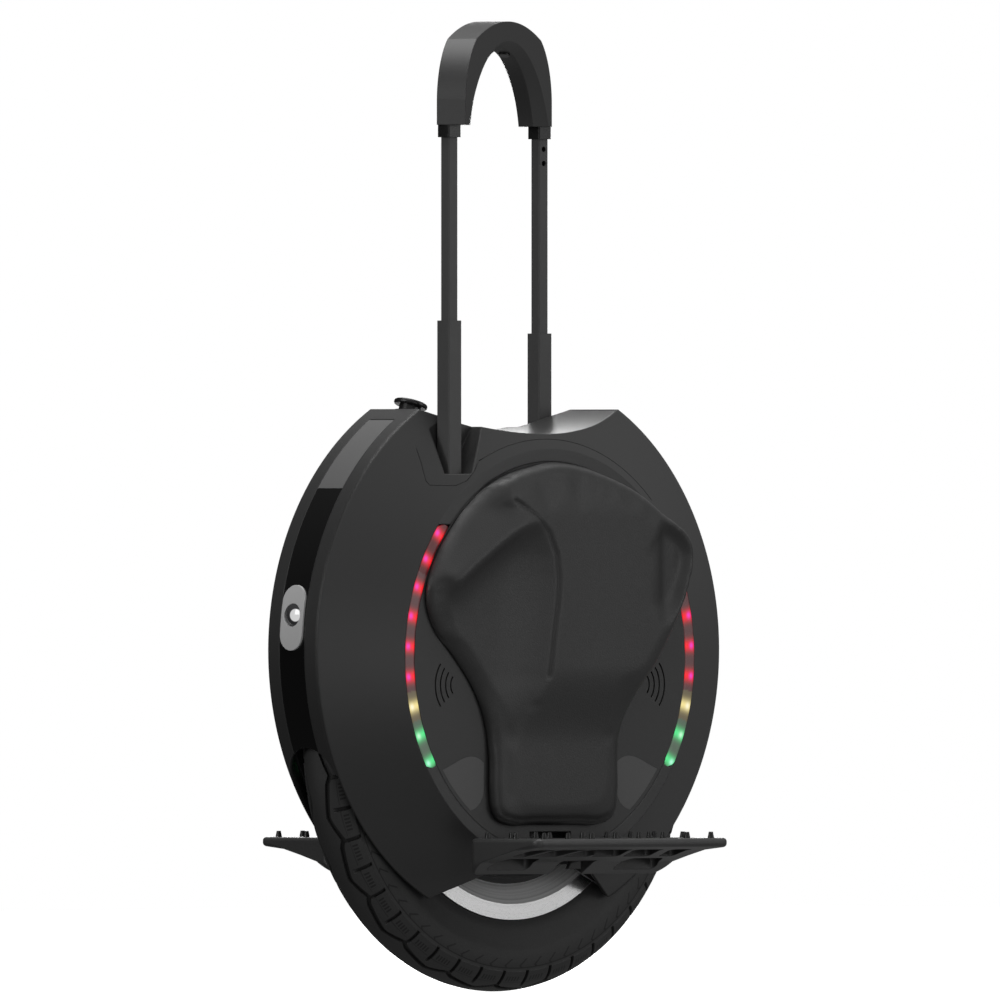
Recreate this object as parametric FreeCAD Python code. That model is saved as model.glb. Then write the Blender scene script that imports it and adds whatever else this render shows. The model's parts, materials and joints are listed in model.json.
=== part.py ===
"""Electric unicycle with side pads, folding pedals and a telescopic trolley handle.

Millimetres. The origin is on the ground under the wheel's centre, +Z is up, the wheel turns
about Y and the headlight looks along -X. The left side of the rider is -Y. Distances outwards
from the middle plane are called n, so a left piece lies at y = -n. The right side is the same
moulding turned half a turn about Z.
"""
import FreeCAD, Part
import math
import os

Vec = FreeCAD.Vector
UP = Vec(0, 0, 1)

# Wheel: tyre, tube and rim
TYRE_RADIUS = 228.5
TYRE_SECTION = 29.1
TYRE_WALL = 6.0
TUBE_WALL = 2.0
TUBE_GAP = 0.4
TYRE_HEIGHT = 65.5
RIM_RADIUS = TYRE_RADIUS - TYRE_HEIGHT
RIM_HALF_WIDTH = 23.8
RIM_FACE = 14.4
RIM_LIP = 2.8
RIM_WELL_DEPTH = 11.0
BEAD_GAP = 0.25
BEAD_SEAT = 6.0
BEAD_TAPER = 2.0
BEAD_HEEL = 1.6
BEAD_HALF_OPENING = 13.0
VALVE_RADIUS = 2.0
VALVE_OFFSET = 8.0
VALVE_MOUTH = 6.4
VALVE_PROUD = 3.5
AXLE_Z = TYRE_RADIUS

# Hub motor
ROTOR_DEPTH = 41.0
MOTOR_RADIUS = RIM_RADIUS - ROTOR_DEPTH
MOTOR_HALF_WIDTH = 14.0
COVER_SEAT = 8.6
COVER_THICKNESS = 4.0
COVER_BOSS_RADIUS = 32.0
COVER_DISH = 26.0
COVER_EDGE = 4.0
BEARING_RADIUS = 23.5
BEARING_WIDTH = 14.0
BEARING_FIT = 0.05
MAGNET_THICKNESS = 4.0
MAGNET_COUNT = 40
MAGNET_SHARE = 0.86
AIR_GAP = 1.0
STATOR_HALF_WIDTH = 9.0
STATOR_SLOTS = 36
STATOR_LIP = 3.0
SLOT_DEPTH = 26.0
SLOT_WIDTH = 9.0
WINDING_HEIGHT = 3.6
COVER_SCREWS = 12
SCREW_HEAD_RADIUS = 3.4
SCREW_HEAD_HEIGHT = 2.2

# Axle
AXLE_CORE_RADIUS = 14.0
AXLE_RADIUS = 10.0
AXLE_THREAD_RADIUS = 8.0
AXLE_THREAD_LENGTH = 14.0
NUT_ACROSS_CORNERS = 27.0
NUT_HEIGHT = 9.0

# Outer shell: a round drum over the tyre, whose sides slope in to a flat oval plateau
SHELL_OVER_TYRE = 24.3
SHELL_RADIUS = TYRE_RADIUS + SHELL_OVER_TYRE
SHELL_LIFT = 83.0
SHELL_Z = AXLE_Z + SHELL_LIFT
WELL_GAP = 2.6
SHELL_END_HALF = TYRE_SECTION + WELL_GAP
SIDE_RUN_X = 71.7
SIDE_RUN_Z = 63.1
PLATEAU_HALF_X = SHELL_RADIUS - SIDE_RUN_X
PLATEAU_HALF_Z = SHELL_RADIUS - SIDE_RUN_Z
PLATEAU_DROP = 6.5
PLATEAU_Z = SHELL_Z - PLATEAU_DROP
SIDE_RISE = 42.3
PLATEAU_N = SHELL_END_HALF + SIDE_RISE
SHELL_WALL = 3.0
SADDLE_DIP = 55.8
SADDLE_Z = SHELL_Z + SHELL_RADIUS - SADDLE_DIP
SADDLE_RADIUS = 358.4
SKIRT_LIFT = 53.3
SKIRT_FLAT_Z = SHELL_Z - SHELL_RADIUS + SKIRT_LIFT
SKIRT_TIP_DROP = 24.0
SKIRT_TIP_X = 108.0
SKIRT_FLAT_HALF = 58.0
FIT_GAP = 0.3

# Where the saddle's surface meets the drum
SADDLE_CENTRE = SADDLE_Z + SADDLE_RADIUS - SHELL_Z
RIDGE_RISE = (SADDLE_CENTRE ** 2 + SHELL_RADIUS ** 2 - SADDLE_RADIUS ** 2) / (2 * SADDLE_CENTRE)
RIDGE_X = math.sqrt(SHELL_RADIUS ** 2 - RIDGE_RISE ** 2)

# Frame inside the shell
FRAME_GAP = 1.3
FRAME_PLATE_N = SHELL_END_HALF + FRAME_GAP
FRAME_PLATE = 3.0
FRAME_MARGIN = 15.8
FRAME_RADIUS = SHELL_RADIUS - FRAME_MARGIN
FRAME_HEM = 4.0
ARCH_GAP = 7.5
ARCH_WALL = 3.0
ARCH_LIFT = 57.5
DECK_HALF_LENGTH = 60.0
DECK_HEIGHT = 6.0
AXLE_CLEARANCE = 2.0

# Front and rear covers with strip, window, lamp and socket; the heights go with the drum
COVER_DROP = 31.0
COVER_LOW_Z = AXLE_Z - COVER_DROP
MOUTH_SIDE = 1.2
MOUTH_RADIUS = SHELL_END_HALF - MOUTH_SIDE
MOUTH_DROP = 4.5
MOUTH_Z = COVER_LOW_Z - MOUTH_DROP
STRIP_HALF = SHELL_END_HALF * 0.514
STRIP_TOP_Z = SHELL_Z + SHELL_RADIUS * 0.5835
WINDOW_TOP_Z = SHELL_Z + SHELL_RADIUS * 0.829
INLAY_DEPTH = 1.4
LAMP_HEIGHT = 59.6
LAMP_WIDTH = SHELL_END_HALF * 0.915
LAMP_LOW_Z = SHELL_Z
LAMP_RAISE = 1.8
LAMP_DEPTH = 6.0
LENS_RADIUS = LAMP_WIDTH * 0.352
LENS_Z = LAMP_LOW_Z + LAMP_HEIGHT * 0.54
LENS_PROUD = 1.2
LENS_DOME = 3.0
SOCKET_ANGLE = 44.3
SOCKET_RADIUS = 9.0
SOCKET_FLANGE = 2.5
SOCKET_PROUD = 1.5
SOCKET_BORE = 6.0
SOCKET_BORE_DEPTH = 10.0
SOCKET_LENGTH = 16.0

# Side panel, lights, speakers and inserts; their places are shares of the plateau
LIGHT_WIDTH = 11.4
LIGHT_ROUND = LIGHT_WIDTH * 0.42
PANEL_HALF_X = PLATEAU_HALF_X - LIGHT_WIDTH
PANEL_HALF_Z = PLATEAU_HALF_Z - LIGHT_WIDTH
PANEL_BACK_N = PLATEAU_N - SHELL_WALL
LIGHT_LOW_Z = PLATEAU_Z - PLATEAU_HALF_Z * 0.527
LIGHT_HIGH_Z = PLATEAU_Z + PLATEAU_HALF_Z * 0.638
SPEAKER_X = PLATEAU_HALF_X * 0.618
SPEAKER_Z = PLATEAU_Z - PLATEAU_HALF_Z * 0.132
SPEAKER_RADIUS = 24.0
SPEAKER_DEPTH = 9.0
SPEAKER_SLOTS = 4
SLOT_FIRST_RADIUS = 6.0
SLOT_PITCH = 6.4
SLOT_LINE = 1.5
SLOT_HALF_ANGLE = 38.0
INSERT_THICKNESS = 0.8
INSERT_EDGE = 4.0

# Pad: a padded base that carries a raised panel; its outline is shares of the plateau
PAD_TOP_Z = PLATEAU_Z + PLATEAU_HALF_Z * 0.9436
PAD_SHOULDER_X = PLATEAU_HALF_X * 0.7565
PAD_SHOULDER_Z = PLATEAU_Z + PLATEAU_HALF_Z * 0.6115
PAD_WING_X = PLATEAU_HALF_X * 0.9166
PAD_WING_Z = PLATEAU_Z + PLATEAU_HALF_Z * 0.3848
PAD_UNDER_X = PLATEAU_HALF_X * 0.8548
PAD_UNDER_Z = PLATEAU_Z + PLATEAU_HALF_Z * 0.1761
PAD_WAIST_X = PLATEAU_HALF_X * 0.6814
PAD_WAIST_Z = PLATEAU_Z + PLATEAU_HALF_Z * 0.0095
PAD_NECK_X = PLATEAU_HALF_X * 0.439
PAD_NECK_Z = PLATEAU_Z - PLATEAU_HALF_Z * 0.4249
PAD_LOW_Z = PLATEAU_Z - PLATEAU_HALF_Z * 0.8092
PAD_MIDDLE_Z = PLATEAU_Z + PLATEAU_HALF_Z * 0.132
PAD_CORNER = PLATEAU_HALF_X * 0.11
PAD_SWELL = 6.0
PAD_DECK = 12.0
PAD_PANEL = 24.0
PAD_ROOT_SHARE = 0.965
PAD_DECK_SHARE = 0.93
PAD_PANEL_SHARE = 0.93
INSERT_GAP = 3.5
INSERT_INNER_X = PAD_NECK_X + INSERT_GAP
INSERT_TOP_Z = PLATEAU_Z - PLATEAU_HALF_Z * 0.49
INSERT_LOW_Z = PLATEAU_Z - PLATEAU_HALF_Z * 0.735
INSERT_WAVE = 3.0

# Trolley handle: two square legs on the diagonal, two stages and a grip arch
LEG_FROM_RIDGE = 19.9
LEG_X = RIDGE_X - LEG_FROM_RIDGE
LEG_N = PLATEAU_N * 0.7
LEG_REACH = math.hypot(LEG_X, LEG_N)
LEG_ANGLE = math.degrees(math.atan2(LEG_N, LEG_X))
LOWER_TUBE = 16.4
LOWER_TUBE_WALL = 2.2
UPPER_TUBE_WALL = 1.5
TUBE_CHAMFER = 1.0
SLIDE_GAP = 0.3
SLEEVE_WALL = 1.2
SLEEVE_LENGTH = 182.0
SLEEVE_FLOOR = 3.0
BRACKET_HEIGHT = 24.0
BRACKET_FROM_TOP = 70.0
BRACKET_FROM_FLOOR = 10.0

# Notch in the shell that the trolley leg comes out of
NOTCH_DEPTH = 36.5
NOTCH_LOW_Z = SADDLE_Z - NOTCH_DEPTH
NOTCH_BACK_N = LEG_N - 9.8
NOTCH_FRONT_GAP = 7.5
NOTCH_REAR_GAP = 1.6
NOTCH_FLARE = 37.3
NOTCH_HEADROOM = 60.0
NOTCH_WALL = 2.5

# Heights of the pulled-out handle, counted from the notch's floor
LOWER_RISE = 139.6
LOWER_TOP_Z = NOTCH_LOW_Z + LOWER_RISE
LOWER_LENGTH = 197.0
LOWER_STAGGER = 11.0
TUBE_OVERLAP = 51.6
UPPER_LOW_Z = LOWER_TOP_Z - TUBE_OVERLAP
COLLAR_RISE = 166.7
COLLAR_LOW_Z = LOWER_TOP_Z + COLLAR_RISE
COLLAR_HEIGHT = 11.3
COLLAR_TOP_Z = COLLAR_LOW_Z + COLLAR_HEIGHT
COLLAR_SIZE = 15.6
TUBE_IN_GRIP = 12.0
PIN_HOLE_RADIUS = 2.5
PIN_HOLE_DROP = 22.3
PIN_HOLE_PITCH = 13.0
GRIP_WIDTH = 28.0
GRIP_OVERHANG = 8.6
GRIP_TURN = 2.4
GRIP_HALF_SPAN = LEG_REACH + GRIP_OVERHANG
GRIP_HEIGHT = 95.2
GRIP_TOP_Z = COLLAR_TOP_Z + GRIP_HEIGHT
GRIP_SIDE_RISE = 23.4
GRIP_CORNER = 31.3
GRIP_CORNER_DROP = 16.8
GRIP_FOOT = 22.0
GRIP_INNER_RADIUS = LEG_REACH - GRIP_FOOT
GRIP_THICKNESS = 25.0
GRIP_INNER_TOP_Z = GRIP_TOP_Z - GRIP_THICKNESS
GRIP_HOLLOW_WIDTH = 7.0
GRIP_HOLLOW_TOP = 7.0
GRIP_SIDE_FACE = 9.4
GRIP_HOLLOW_SPARE = 0.15
BUTTON_E = GRIP_INNER_RADIUS * 0.2967
BUTTON_RADIUS = 5.0
BUTTON_PROUD = 2.0
BUTTON_DEPTH = 9.0
BUTTON_TRAVEL = 1.5

# Power button on the front of the saddle
POWER_FROM_RIDGE = 17.2
POWER_X = POWER_FROM_RIDGE - RIDGE_X
POWER_RADIUS = 15.5
POWER_CAP = 4.6
POWER_STEM_RADIUS = 10.0
POWER_BARREL_WALL = 2.0
POWER_RISE = 8.4
POWER_COLLAR_RADIUS = 14.0
POWER_COLLAR_HEIGHT = 1.6
POWER_COLLAR_LIFT = 0.6
POWER_STEM_LENGTH = 15.0
POWER_FLOOR = 2.0
POWER_TRAVEL = 2.0
POWER_END_GAP = 1.0

# Pedals and their hangers
PEDAL_HALF_LENGTH = 120.0
PEDAL_STANDOFF = 18.6
PEDAL_IN_N = PLATEAU_N + PEDAL_STANDOFF
PEDAL_WIDTH = 93.4
PEDAL_OUT_N = PEDAL_IN_N + PEDAL_WIDTH
PEDAL_LIFT = 28.6
PEDAL_TOP_Z = SKIRT_FLAT_Z + PEDAL_LIFT
PEDAL_LIP = 8.0
PEDAL_DEEP = 33.0
PEDAL_CORNER = 24.0
PEDAL_TIP_ROUND = 3.4
PEDAL_END_ROUND = 12.0
PEDAL_PLATE = 5.2
PEDAL_RIB = 6.0
POCKET_COUNT = 4
POCKET_LEAN = 12.0
POCKET_ROUND = 4.5
HINGE_INSET = 11.4
HINGE_N = PEDAL_IN_N + HINGE_INSET
HINGE_DROP = 10.6
HINGE_Z = PEDAL_TOP_Z - HINGE_DROP
PIN_RADIUS = 6.0
PIN_FIT = 0.06
PIN_HALF_LENGTH = 46.0
LUG_RADIUS = 10.4
LUG_HALF_WIDTH = 20.0
LUG_GAP = 0.6
SLOT_MARGIN = 6.0
HANGER_THICKNESS = 12.0
HANGER_HALF_WIDTH = 24.0
HANGER_TOP = 30.0
HANGER_ARM_DROP = 10.0
HANGER_ARM_HEIGHT = 18.0
HANGER_BOLT_RADIUS = 4.0
HANGER_BOLT_HEAD = 6.5
HANGER_BOLT_HEAD_HEIGHT = 6.0
HANGER_BOLT_PITCH = 16.0
HANGER_BOLT_EDGE = 9.0
STUD_RADIUS = 3.0
STUD_TIP_RADIUS = 1.9
STUD_HEIGHT = 5.6
STUD_EDGE = 9.5
STUD_END = 15.5

# Batteries and control board
BATTERY_LENGTH = PLATEAU_HALF_X * 1.05
BATTERY_HEIGHT = PLATEAU_HALF_Z * 0.643
BATTERY_X = PLATEAU_HALF_X * 0.1215
BATTERY_LOW_Z = PLATEAU_Z + 1.0
BATTERY_SPARE = 8.0
BATTERY_CORNER = 8.0
BOARD_THICKNESS = 1.6
BOARD_RISE = 8.0
BOARD_END = 5.0
BOARD_HALF_WIDTH = 26.0
POST_RADIUS = 3.0
PART_COUNT = 4
PART_LENGTH = 12.0
PART_HEIGHT = 9.0

FRAME_OUT_N = FRAME_PLATE_N + FRAME_PLATE
HANGER_OUT_N = FRAME_OUT_N + HANGER_THICKNESS
UPPER_TUBE = LOWER_TUBE - 2 * LOWER_TUBE_WALL - 2 * SLIDE_GAP
SLEEVE_BORE = LOWER_TUBE + 2 * SLIDE_GAP
SLEEVE_SIZE = SLEEVE_BORE + 2 * SLEEVE_WALL
SLEEVE_LOW_Z = NOTCH_LOW_Z - SLEEVE_LENGTH
FAR = 2 * SHELL_RADIUS


def turned(shape):
    """The same piece on the other side: half a turn about Z."""
    other = shape.copy()
    other.rotate(Vec(0, 0, 0), UP, 180)
    return other


def joined(shapes):
    """One solid out of several that touch or overlap."""
    return shapes[0].multiFuse(shapes[1:]).removeSplitter()


def group(shapes):
    """Several separate solids in one node."""
    return Part.makeCompound(shapes)


def disc(radius, n0, n1, x=0.0, z=0.0):
    """A round bar along the axle's direction, from n0 to n1."""
    return Part.makeCylinder(radius, n1 - n0, Vec(x, -n0, z), Vec(0, -1, 0))


def block(x0, x1, n0, n1, z0, z1):
    """A box between two distances outwards."""
    return Part.makeBox(x1 - x0, n1 - n0, z1 - z0, Vec(x0, -n1, z0))


def slab(points, n0, n1):
    """A plate whose outline is given in x and z."""
    corners = [Vec(x, -n0, z) for x, z in points]
    face = Part.Face(Part.makePolygon(corners + corners[:1]))
    return face.extrude(Vec(0, n0 - n1, 0))


def ellipse_wire(half_x, half_z, z, n):
    """An upright oval. Every oval of the shell starts at the same end of its longer axis."""
    tall = PLATEAU_HALF_Z >= PLATEAU_HALF_X
    major, minor = (half_z, half_x) if tall else (half_x, half_z)
    curve = Part.Ellipse(Vec(0, 0, 0), major, minor).toShape()
    curve.rotate(Vec(0, 0, 0), Vec(1, 0, 0), 90)
    if tall:
        curve.rotate(Vec(0, 0, 0), Vec(0, 1, 0), 90)
    curve.translate(Vec(0, -n, z))
    return Part.Wire(curve)


def ellipse_slab(half_x, half_z, z, n0, n1):
    """A plate with an oval outline."""
    return Part.Face(ellipse_wire(half_x, half_z, z, n0)).extrude(Vec(0, n0 - n1, 0))


def spun(profile):
    """A ring about the axle from a closed profile of (n, radius) points."""
    corners = [Vec(0, -n, AXLE_Z + radius) for n, radius in profile]
    face = Part.Face(Part.makePolygon(corners + corners[:1]))
    return face.revolve(Vec(0, 0, AXLE_Z), Vec(0, 1, 0), 360)


def square_bar(size, z0, z1, chamfer=0.0):
    """An upright square bar on the left leg's axis, with its corners cut off."""
    half = size / 2
    bar = block(-LEG_X - half, -LEG_X + half, LEG_N - half, LEG_N + half, z0, z1)
    if chamfer > 0:
        edges = [e for e in bar.Edges if abs(e.tangentAt(e.FirstParameter).z) > 0.99]
        bar = bar.makeChamfer(chamfer, edges)
    return bar


# The shell's form

def side_hull(inset):
    """The left sloping side, moved inwards by inset along its own normal."""
    run = SHELL_RADIUS - (PLATEAU_HALF_X + PLATEAU_HALF_Z) / 2
    rise = PLATEAU_N - SHELL_END_HALF
    slope = math.hypot(run, rise)
    rim = SHELL_RADIUS - inset * slope / rise
    less = inset * (slope - run) / rise
    outer = ellipse_wire(rim, rim, SHELL_Z, SHELL_END_HALF)
    inner = ellipse_wire(PLATEAU_HALF_X - less, PLATEAU_HALF_Z - less, PLATEAU_Z, PLATEAU_N - inset)
    return Part.makeLoft([outer, inner], True, True)


def drum(radius):
    """The round middle of the shell."""
    return disc(radius, -SHELL_END_HALF, SHELL_END_HALF, 0, SHELL_Z)


def saddle(drop):
    """Everything above the hollow saddle, whose surface is lowered by drop."""
    return disc(SADDLE_RADIUS + drop, -FAR, FAR, 0, SADDLE_Z + SADDLE_RADIUS)


def saddle_height(x):
    """Height of the saddle at a distance from its middle."""
    return SADDLE_Z + SADDLE_RADIUS - math.sqrt(SADDLE_RADIUS ** 2 - x ** 2)


def below_skirt(raise_by):
    """Everything below the shell's lower edge."""
    slope = SKIRT_TIP_DROP / (SKIRT_TIP_X - SKIRT_FLAT_HALF)
    far_z = SKIRT_FLAT_Z - slope * (FAR - SKIRT_FLAT_HALF)
    points = [(-FAR, far_z + raise_by), (-SKIRT_FLAT_HALF, SKIRT_FLAT_Z + raise_by),
              (SKIRT_FLAT_HALF, SKIRT_FLAT_Z + raise_by), (FAR, far_z + raise_by),
              (FAR, far_z - FAR), (-FAR, far_z - FAR)]
    return slab(points, -FAR, FAR)


def notch(grow):
    """The lopsided notch round the left trolley leg, with its walls moved out by grow."""
    front_x = -LEG_X - LOWER_TUBE / 2 - NOTCH_FRONT_GAP
    rear_x = -LEG_X + LOWER_TUBE / 2 + NOTCH_REAR_GAP
    flare_x = -LEG_X + NOTCH_FLARE
    lean = (flare_x - rear_x) / (saddle_height(flare_x) - NOTCH_LOW_Z)
    top_z = SADDLE_Z + NOTCH_HEADROOM
    top_x = rear_x + lean * (top_z - NOTCH_LOW_Z)
    points = [(front_x - grow, NOTCH_LOW_Z - grow), (rear_x + grow, NOTCH_LOW_Z - grow),
              (top_x + grow, top_z), (front_x - grow, top_z)]
    return slab(points, NOTCH_BACK_N - grow, FAR)


def light_sector(front, gap):
    """The curved strip along the plateau's edge, on the front or the rear half."""
    ring = ellipse_slab(PLATEAU_HALF_X - gap, PLATEAU_HALF_Z - gap, PLATEAU_Z,
                        PANEL_BACK_N, PLATEAU_N)
    hole = ellipse_slab(PANEL_HALF_X + gap, PANEL_HALF_Z + gap, PLATEAU_Z, PANEL_BACK_N, FAR)
    low = LIGHT_LOW_Z + gap
    high = LIGHT_HIGH_Z - gap
    half = block(-FAR, 0, 0, FAR, low, high) if front else block(0, FAR, 0, FAR, low, high)
    bar = ring.cut(hole).common(half)
    ends = [e for e in bar.Edges if abs(e.tangentAt(e.FirstParameter).y) > 0.99
            and abs(e.CenterOfMass.z - low) < 0.01]
    return bar.makeFillet(LIGHT_ROUND - gap, ends)


def hanger_slot():
    """The gap in the side through which the pedal hanger comes out."""
    half = LUG_HALF_WIDTH + SLOT_MARGIN
    return block(-half, half, FRAME_OUT_N, FAR, 0, HINGE_Z + LUG_RADIUS + SLOT_MARGIN)


def left_shell():
    wall = side_hull(0).cut(side_hull(SHELL_WALL))
    liner = notch(NOTCH_WALL).common(side_hull(SHELL_WALL / 2))
    bar = square_bar(SLEEVE_BORE, SLEEVE_LOW_Z, NOTCH_LOW_Z + NOTCH_WALL)
    opening = ellipse_slab(PANEL_HALF_X, PANEL_HALF_Z, PLATEAU_Z, PANEL_BACK_N - SHELL_WALL, FAR)
    shell = wall.fuse(liner)
    for tool in (notch(0), bar, opening, saddle(0), below_skirt(0), hanger_slot(),
                 light_sector(True, 0), light_sector(False, 0)):
        shell = shell.cut(tool)
    return shell.removeSplitter()


def saddle_cover():
    inside = joined([drum(SHELL_RADIUS - SHELL_WALL), side_hull(SHELL_WALL),
                     turned(side_hull(SHELL_WALL))])
    cover = inside.common(saddle(SHELL_WALL)).cut(saddle(0))
    for tool in (notch(NOTCH_WALL), turned(notch(NOTCH_WALL))):
        cover = cover.cut(tool)
    return cover.cut(power_bar(POWER_STEM_RADIUS + POWER_BARREL_WALL, -FAR / 8, FAR / 8))


def end_ring(radius0, radius1, half_n, z0, z1):
    """A piece of the drum's front wall."""
    ring = disc(radius1, -half_n, half_n, 0, SHELL_Z).cut(disc(radius0, -half_n, half_n, 0, SHELL_Z))
    return ring.common(block(-FAR, -SHELL_RADIUS / 4, -FAR, FAR, z0, z1))


def stadium(width, height, low_z, x0, x1):
    """An upright bar with round ends that looks forwards."""
    radius = width / 2
    middle = Part.makeBox(x1 - x0, width, height - width, Vec(x0, -radius, low_z + radius))
    low = Part.makeCylinder(radius, x1 - x0, Vec(x0, 0, low_z + radius), Vec(1, 0, 0))
    high = Part.makeCylinder(radius, x1 - x0, Vec(x0, 0, low_z + height - radius), Vec(1, 0, 0))
    return joined([middle, low, high])


def lamp_tool():
    """The round-ended bar that the lamp's bezel is cut from."""
    return stadium(LAMP_WIDTH, LAMP_HEIGHT, LAMP_LOW_Z, -FAR, -SHELL_RADIUS / 2)


def lens_bar(radius, x0, x1):
    """A round bar through the lens's centre, looking forwards."""
    return Part.makeCylinder(radius, x1 - x0, Vec(x0, 0, LENS_Z), Vec(1, 0, 0))


def tyre_mouth():
    """The round-topped opening in the cover's lower end that the tyre comes out of."""
    return Part.makeCylinder(MOUTH_RADIUS, FAR, Vec(-FAR, 0, MOUTH_Z), Vec(1, 0, 0))


def strip():
    """Gloss strip let into the cover, round the lamp."""
    bar = end_ring(SHELL_RADIUS - INLAY_DEPTH, SHELL_RADIUS, STRIP_HALF, COVER_LOW_Z, STRIP_TOP_Z)
    return bar.cut(lamp_tool()).cut(tyre_mouth())


def window():
    """Paler panel above the strip."""
    return end_ring(SHELL_RADIUS - INLAY_DEPTH, SHELL_RADIUS, STRIP_HALF, STRIP_TOP_Z, WINDOW_TOP_Z)


def end_cover():
    """Front wall of the drum between the two side shells."""
    cover = end_ring(SHELL_RADIUS - SHELL_WALL, SHELL_RADIUS, SHELL_END_HALF, COVER_LOW_Z, FAR * 2)
    for tool in (saddle(0), strip(), window(), lamp_tool(), tyre_mouth()):
        cover = cover.cut(tool)
    return cover


def lamp_bezel():
    ring = end_ring(SHELL_RADIUS - LAMP_DEPTH, SHELL_RADIUS + LAMP_RAISE, LAMP_WIDTH, 0, FAR)
    bezel = ring.common(lamp_tool())
    return bezel.cut(lens_bar(LENS_RADIUS + FIT_GAP, -FAR, 0))


def lamp_lens():
    """Lens with a domed face."""
    front = -SHELL_RADIUS - LENS_PROUD
    edge = front + LENS_DOME
    back = front + LAMP_DEPTH + LENS_PROUD

    def at(x, radius):
        return Vec(x, 0, LENS_Z + radius)

    half_r = LENS_RADIUS / 2
    dome = Part.Arc(at(front, 0), at(front + LENS_DOME / 4, half_r), at(edge, LENS_RADIUS)).toShape()
    rest = Part.makePolygon([at(edge, LENS_RADIUS), at(back, LENS_RADIUS), at(back, 0), at(front, 0)])
    face = Part.Face(Part.Wire([dome] + rest.Edges))
    return face.revolve(Vec(0, 0, LENS_Z), Vec(1, 0, 0), 360)


def socket_bar(radius, depth0, depth1):
    """A round bar square to the rear wall at the socket, from depth0 outside the wall."""
    angle = math.radians(SOCKET_ANGLE)
    out = Vec(math.cos(angle), 0, math.sin(angle))
    start = Vec(0, 0, SHELL_Z) + out * (SHELL_RADIUS + depth0)
    return Part.makeCylinder(radius, depth0 - depth1, start, out * -1)


def socket_hole(shape):
    """Open a wall for the socket's flange."""
    return shape.cut(socket_bar(SOCKET_RADIUS + SOCKET_FLANGE, FAR / 8, -FAR / 8))


def charge_socket():
    """Round socket with a flange outside and a blind hole for the charger's plug."""
    flange = socket_bar(SOCKET_RADIUS + SOCKET_FLANGE, SOCKET_PROUD, -SHELL_WALL)
    body = socket_bar(SOCKET_RADIUS, SOCKET_PROUD, SOCKET_PROUD - SOCKET_LENGTH)
    return joined([flange, body]).cut(socket_bar(SOCKET_BORE, SOCKET_PROUD, SOCKET_PROUD - SOCKET_BORE_DEPTH))


# Side panel and what sits on it

def speaker_slots(x):
    """Curved slots in front of a speaker, facing away from the pad."""
    slots = []
    side = -1 if x < 0 else 1
    for i in range(SPEAKER_SLOTS):
        radius = SLOT_FIRST_RADIUS + SLOT_PITCH * (i + 1)
        ring = disc(radius + SLOT_LINE / 2, PANEL_BACK_N - 5, FAR, x, SPEAKER_Z)
        ring = ring.cut(disc(radius - SLOT_LINE / 2, PANEL_BACK_N - 5, FAR, x, SPEAKER_Z))
        reach = 2 * SPEAKER_RADIUS
        rise = reach * math.tan(math.radians(SLOT_HALF_ANGLE))
        wedge = slab([(x, SPEAKER_Z), (x + side * reach, SPEAKER_Z - rise),
                      (x + side * reach, SPEAKER_Z + rise)], PANEL_BACK_N - SHELL_WALL, FAR)
        slots.append(ring.common(wedge))
    return slots


def insert_outline(side, thickness):
    """Paler insert in the panel's lower corner, with a wavy upper edge."""
    inner = INSERT_INNER_X
    oval = ellipse_slab(PANEL_HALF_X - INSERT_EDGE, PANEL_HALF_Z - INSERT_EDGE, PLATEAU_Z,
                        PLATEAU_N - thickness, PLATEAU_N)
    base = -PLATEAU_N + thickness
    width = PANEL_HALF_X - inner
    wave = [Vec(side * PANEL_HALF_X, base, INSERT_TOP_Z + INSERT_WAVE),
            Vec(side * (inner + width * 0.42), base, INSERT_TOP_Z - INSERT_WAVE),
            Vec(side * (inner + width * 0.18), base, INSERT_TOP_Z + INSERT_WAVE),
            Vec(side * inner, base, INSERT_TOP_Z - INSERT_WAVE)]
    top = Part.BSplineCurve()
    top.interpolate(wave)
    foot = Vec(side * inner, base, INSERT_LOW_Z + PAD_CORNER)
    bend = Vec(side * (inner + PAD_CORNER * 0.36), base, INSERT_LOW_Z + PAD_CORNER * 0.24)
    toe = Vec(side * (inner + PAD_CORNER), base, INSERT_LOW_Z)
    far_low = Vec(side * PANEL_HALF_X, base, INSERT_LOW_Z)
    edges = [top.toShape(), Part.makeLine(wave[-1], foot), Part.Arc(foot, bend, toe).toShape(),
             Part.makeLine(toe, far_low), Part.makeLine(far_low, wave[0])]
    return Part.Face(Part.Wire(edges)).extrude(Vec(0, -thickness, 0)).common(oval)


def side_panel():
    panel = ellipse_slab(PANEL_HALF_X - FIT_GAP, PANEL_HALF_Z - FIT_GAP, PLATEAU_Z, PANEL_BACK_N, PLATEAU_N)
    tools = [below_skirt(0), hanger_slot()]
    tools += [insert_outline(side, INSERT_THICKNESS) for side in (-1, 1)]
    tools += speaker_slots(-SPEAKER_X) + speaker_slots(SPEAKER_X)
    for tool in tools:
        panel = panel.cut(tool)
    return panel


def speaker(x):
    """Round driver behind the slots, with a narrower magnet."""
    cone = disc(SPEAKER_RADIUS, PANEL_BACK_N - SPEAKER_DEPTH / 2, PANEL_BACK_N, x, SPEAKER_Z)
    magnet = disc(SPEAKER_RADIUS * 0.6, PANEL_BACK_N - SPEAKER_DEPTH, PANEL_BACK_N - SPEAKER_DEPTH / 2,
                  x, SPEAKER_Z)
    return joined([cone, magnet])


# Pad

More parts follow.
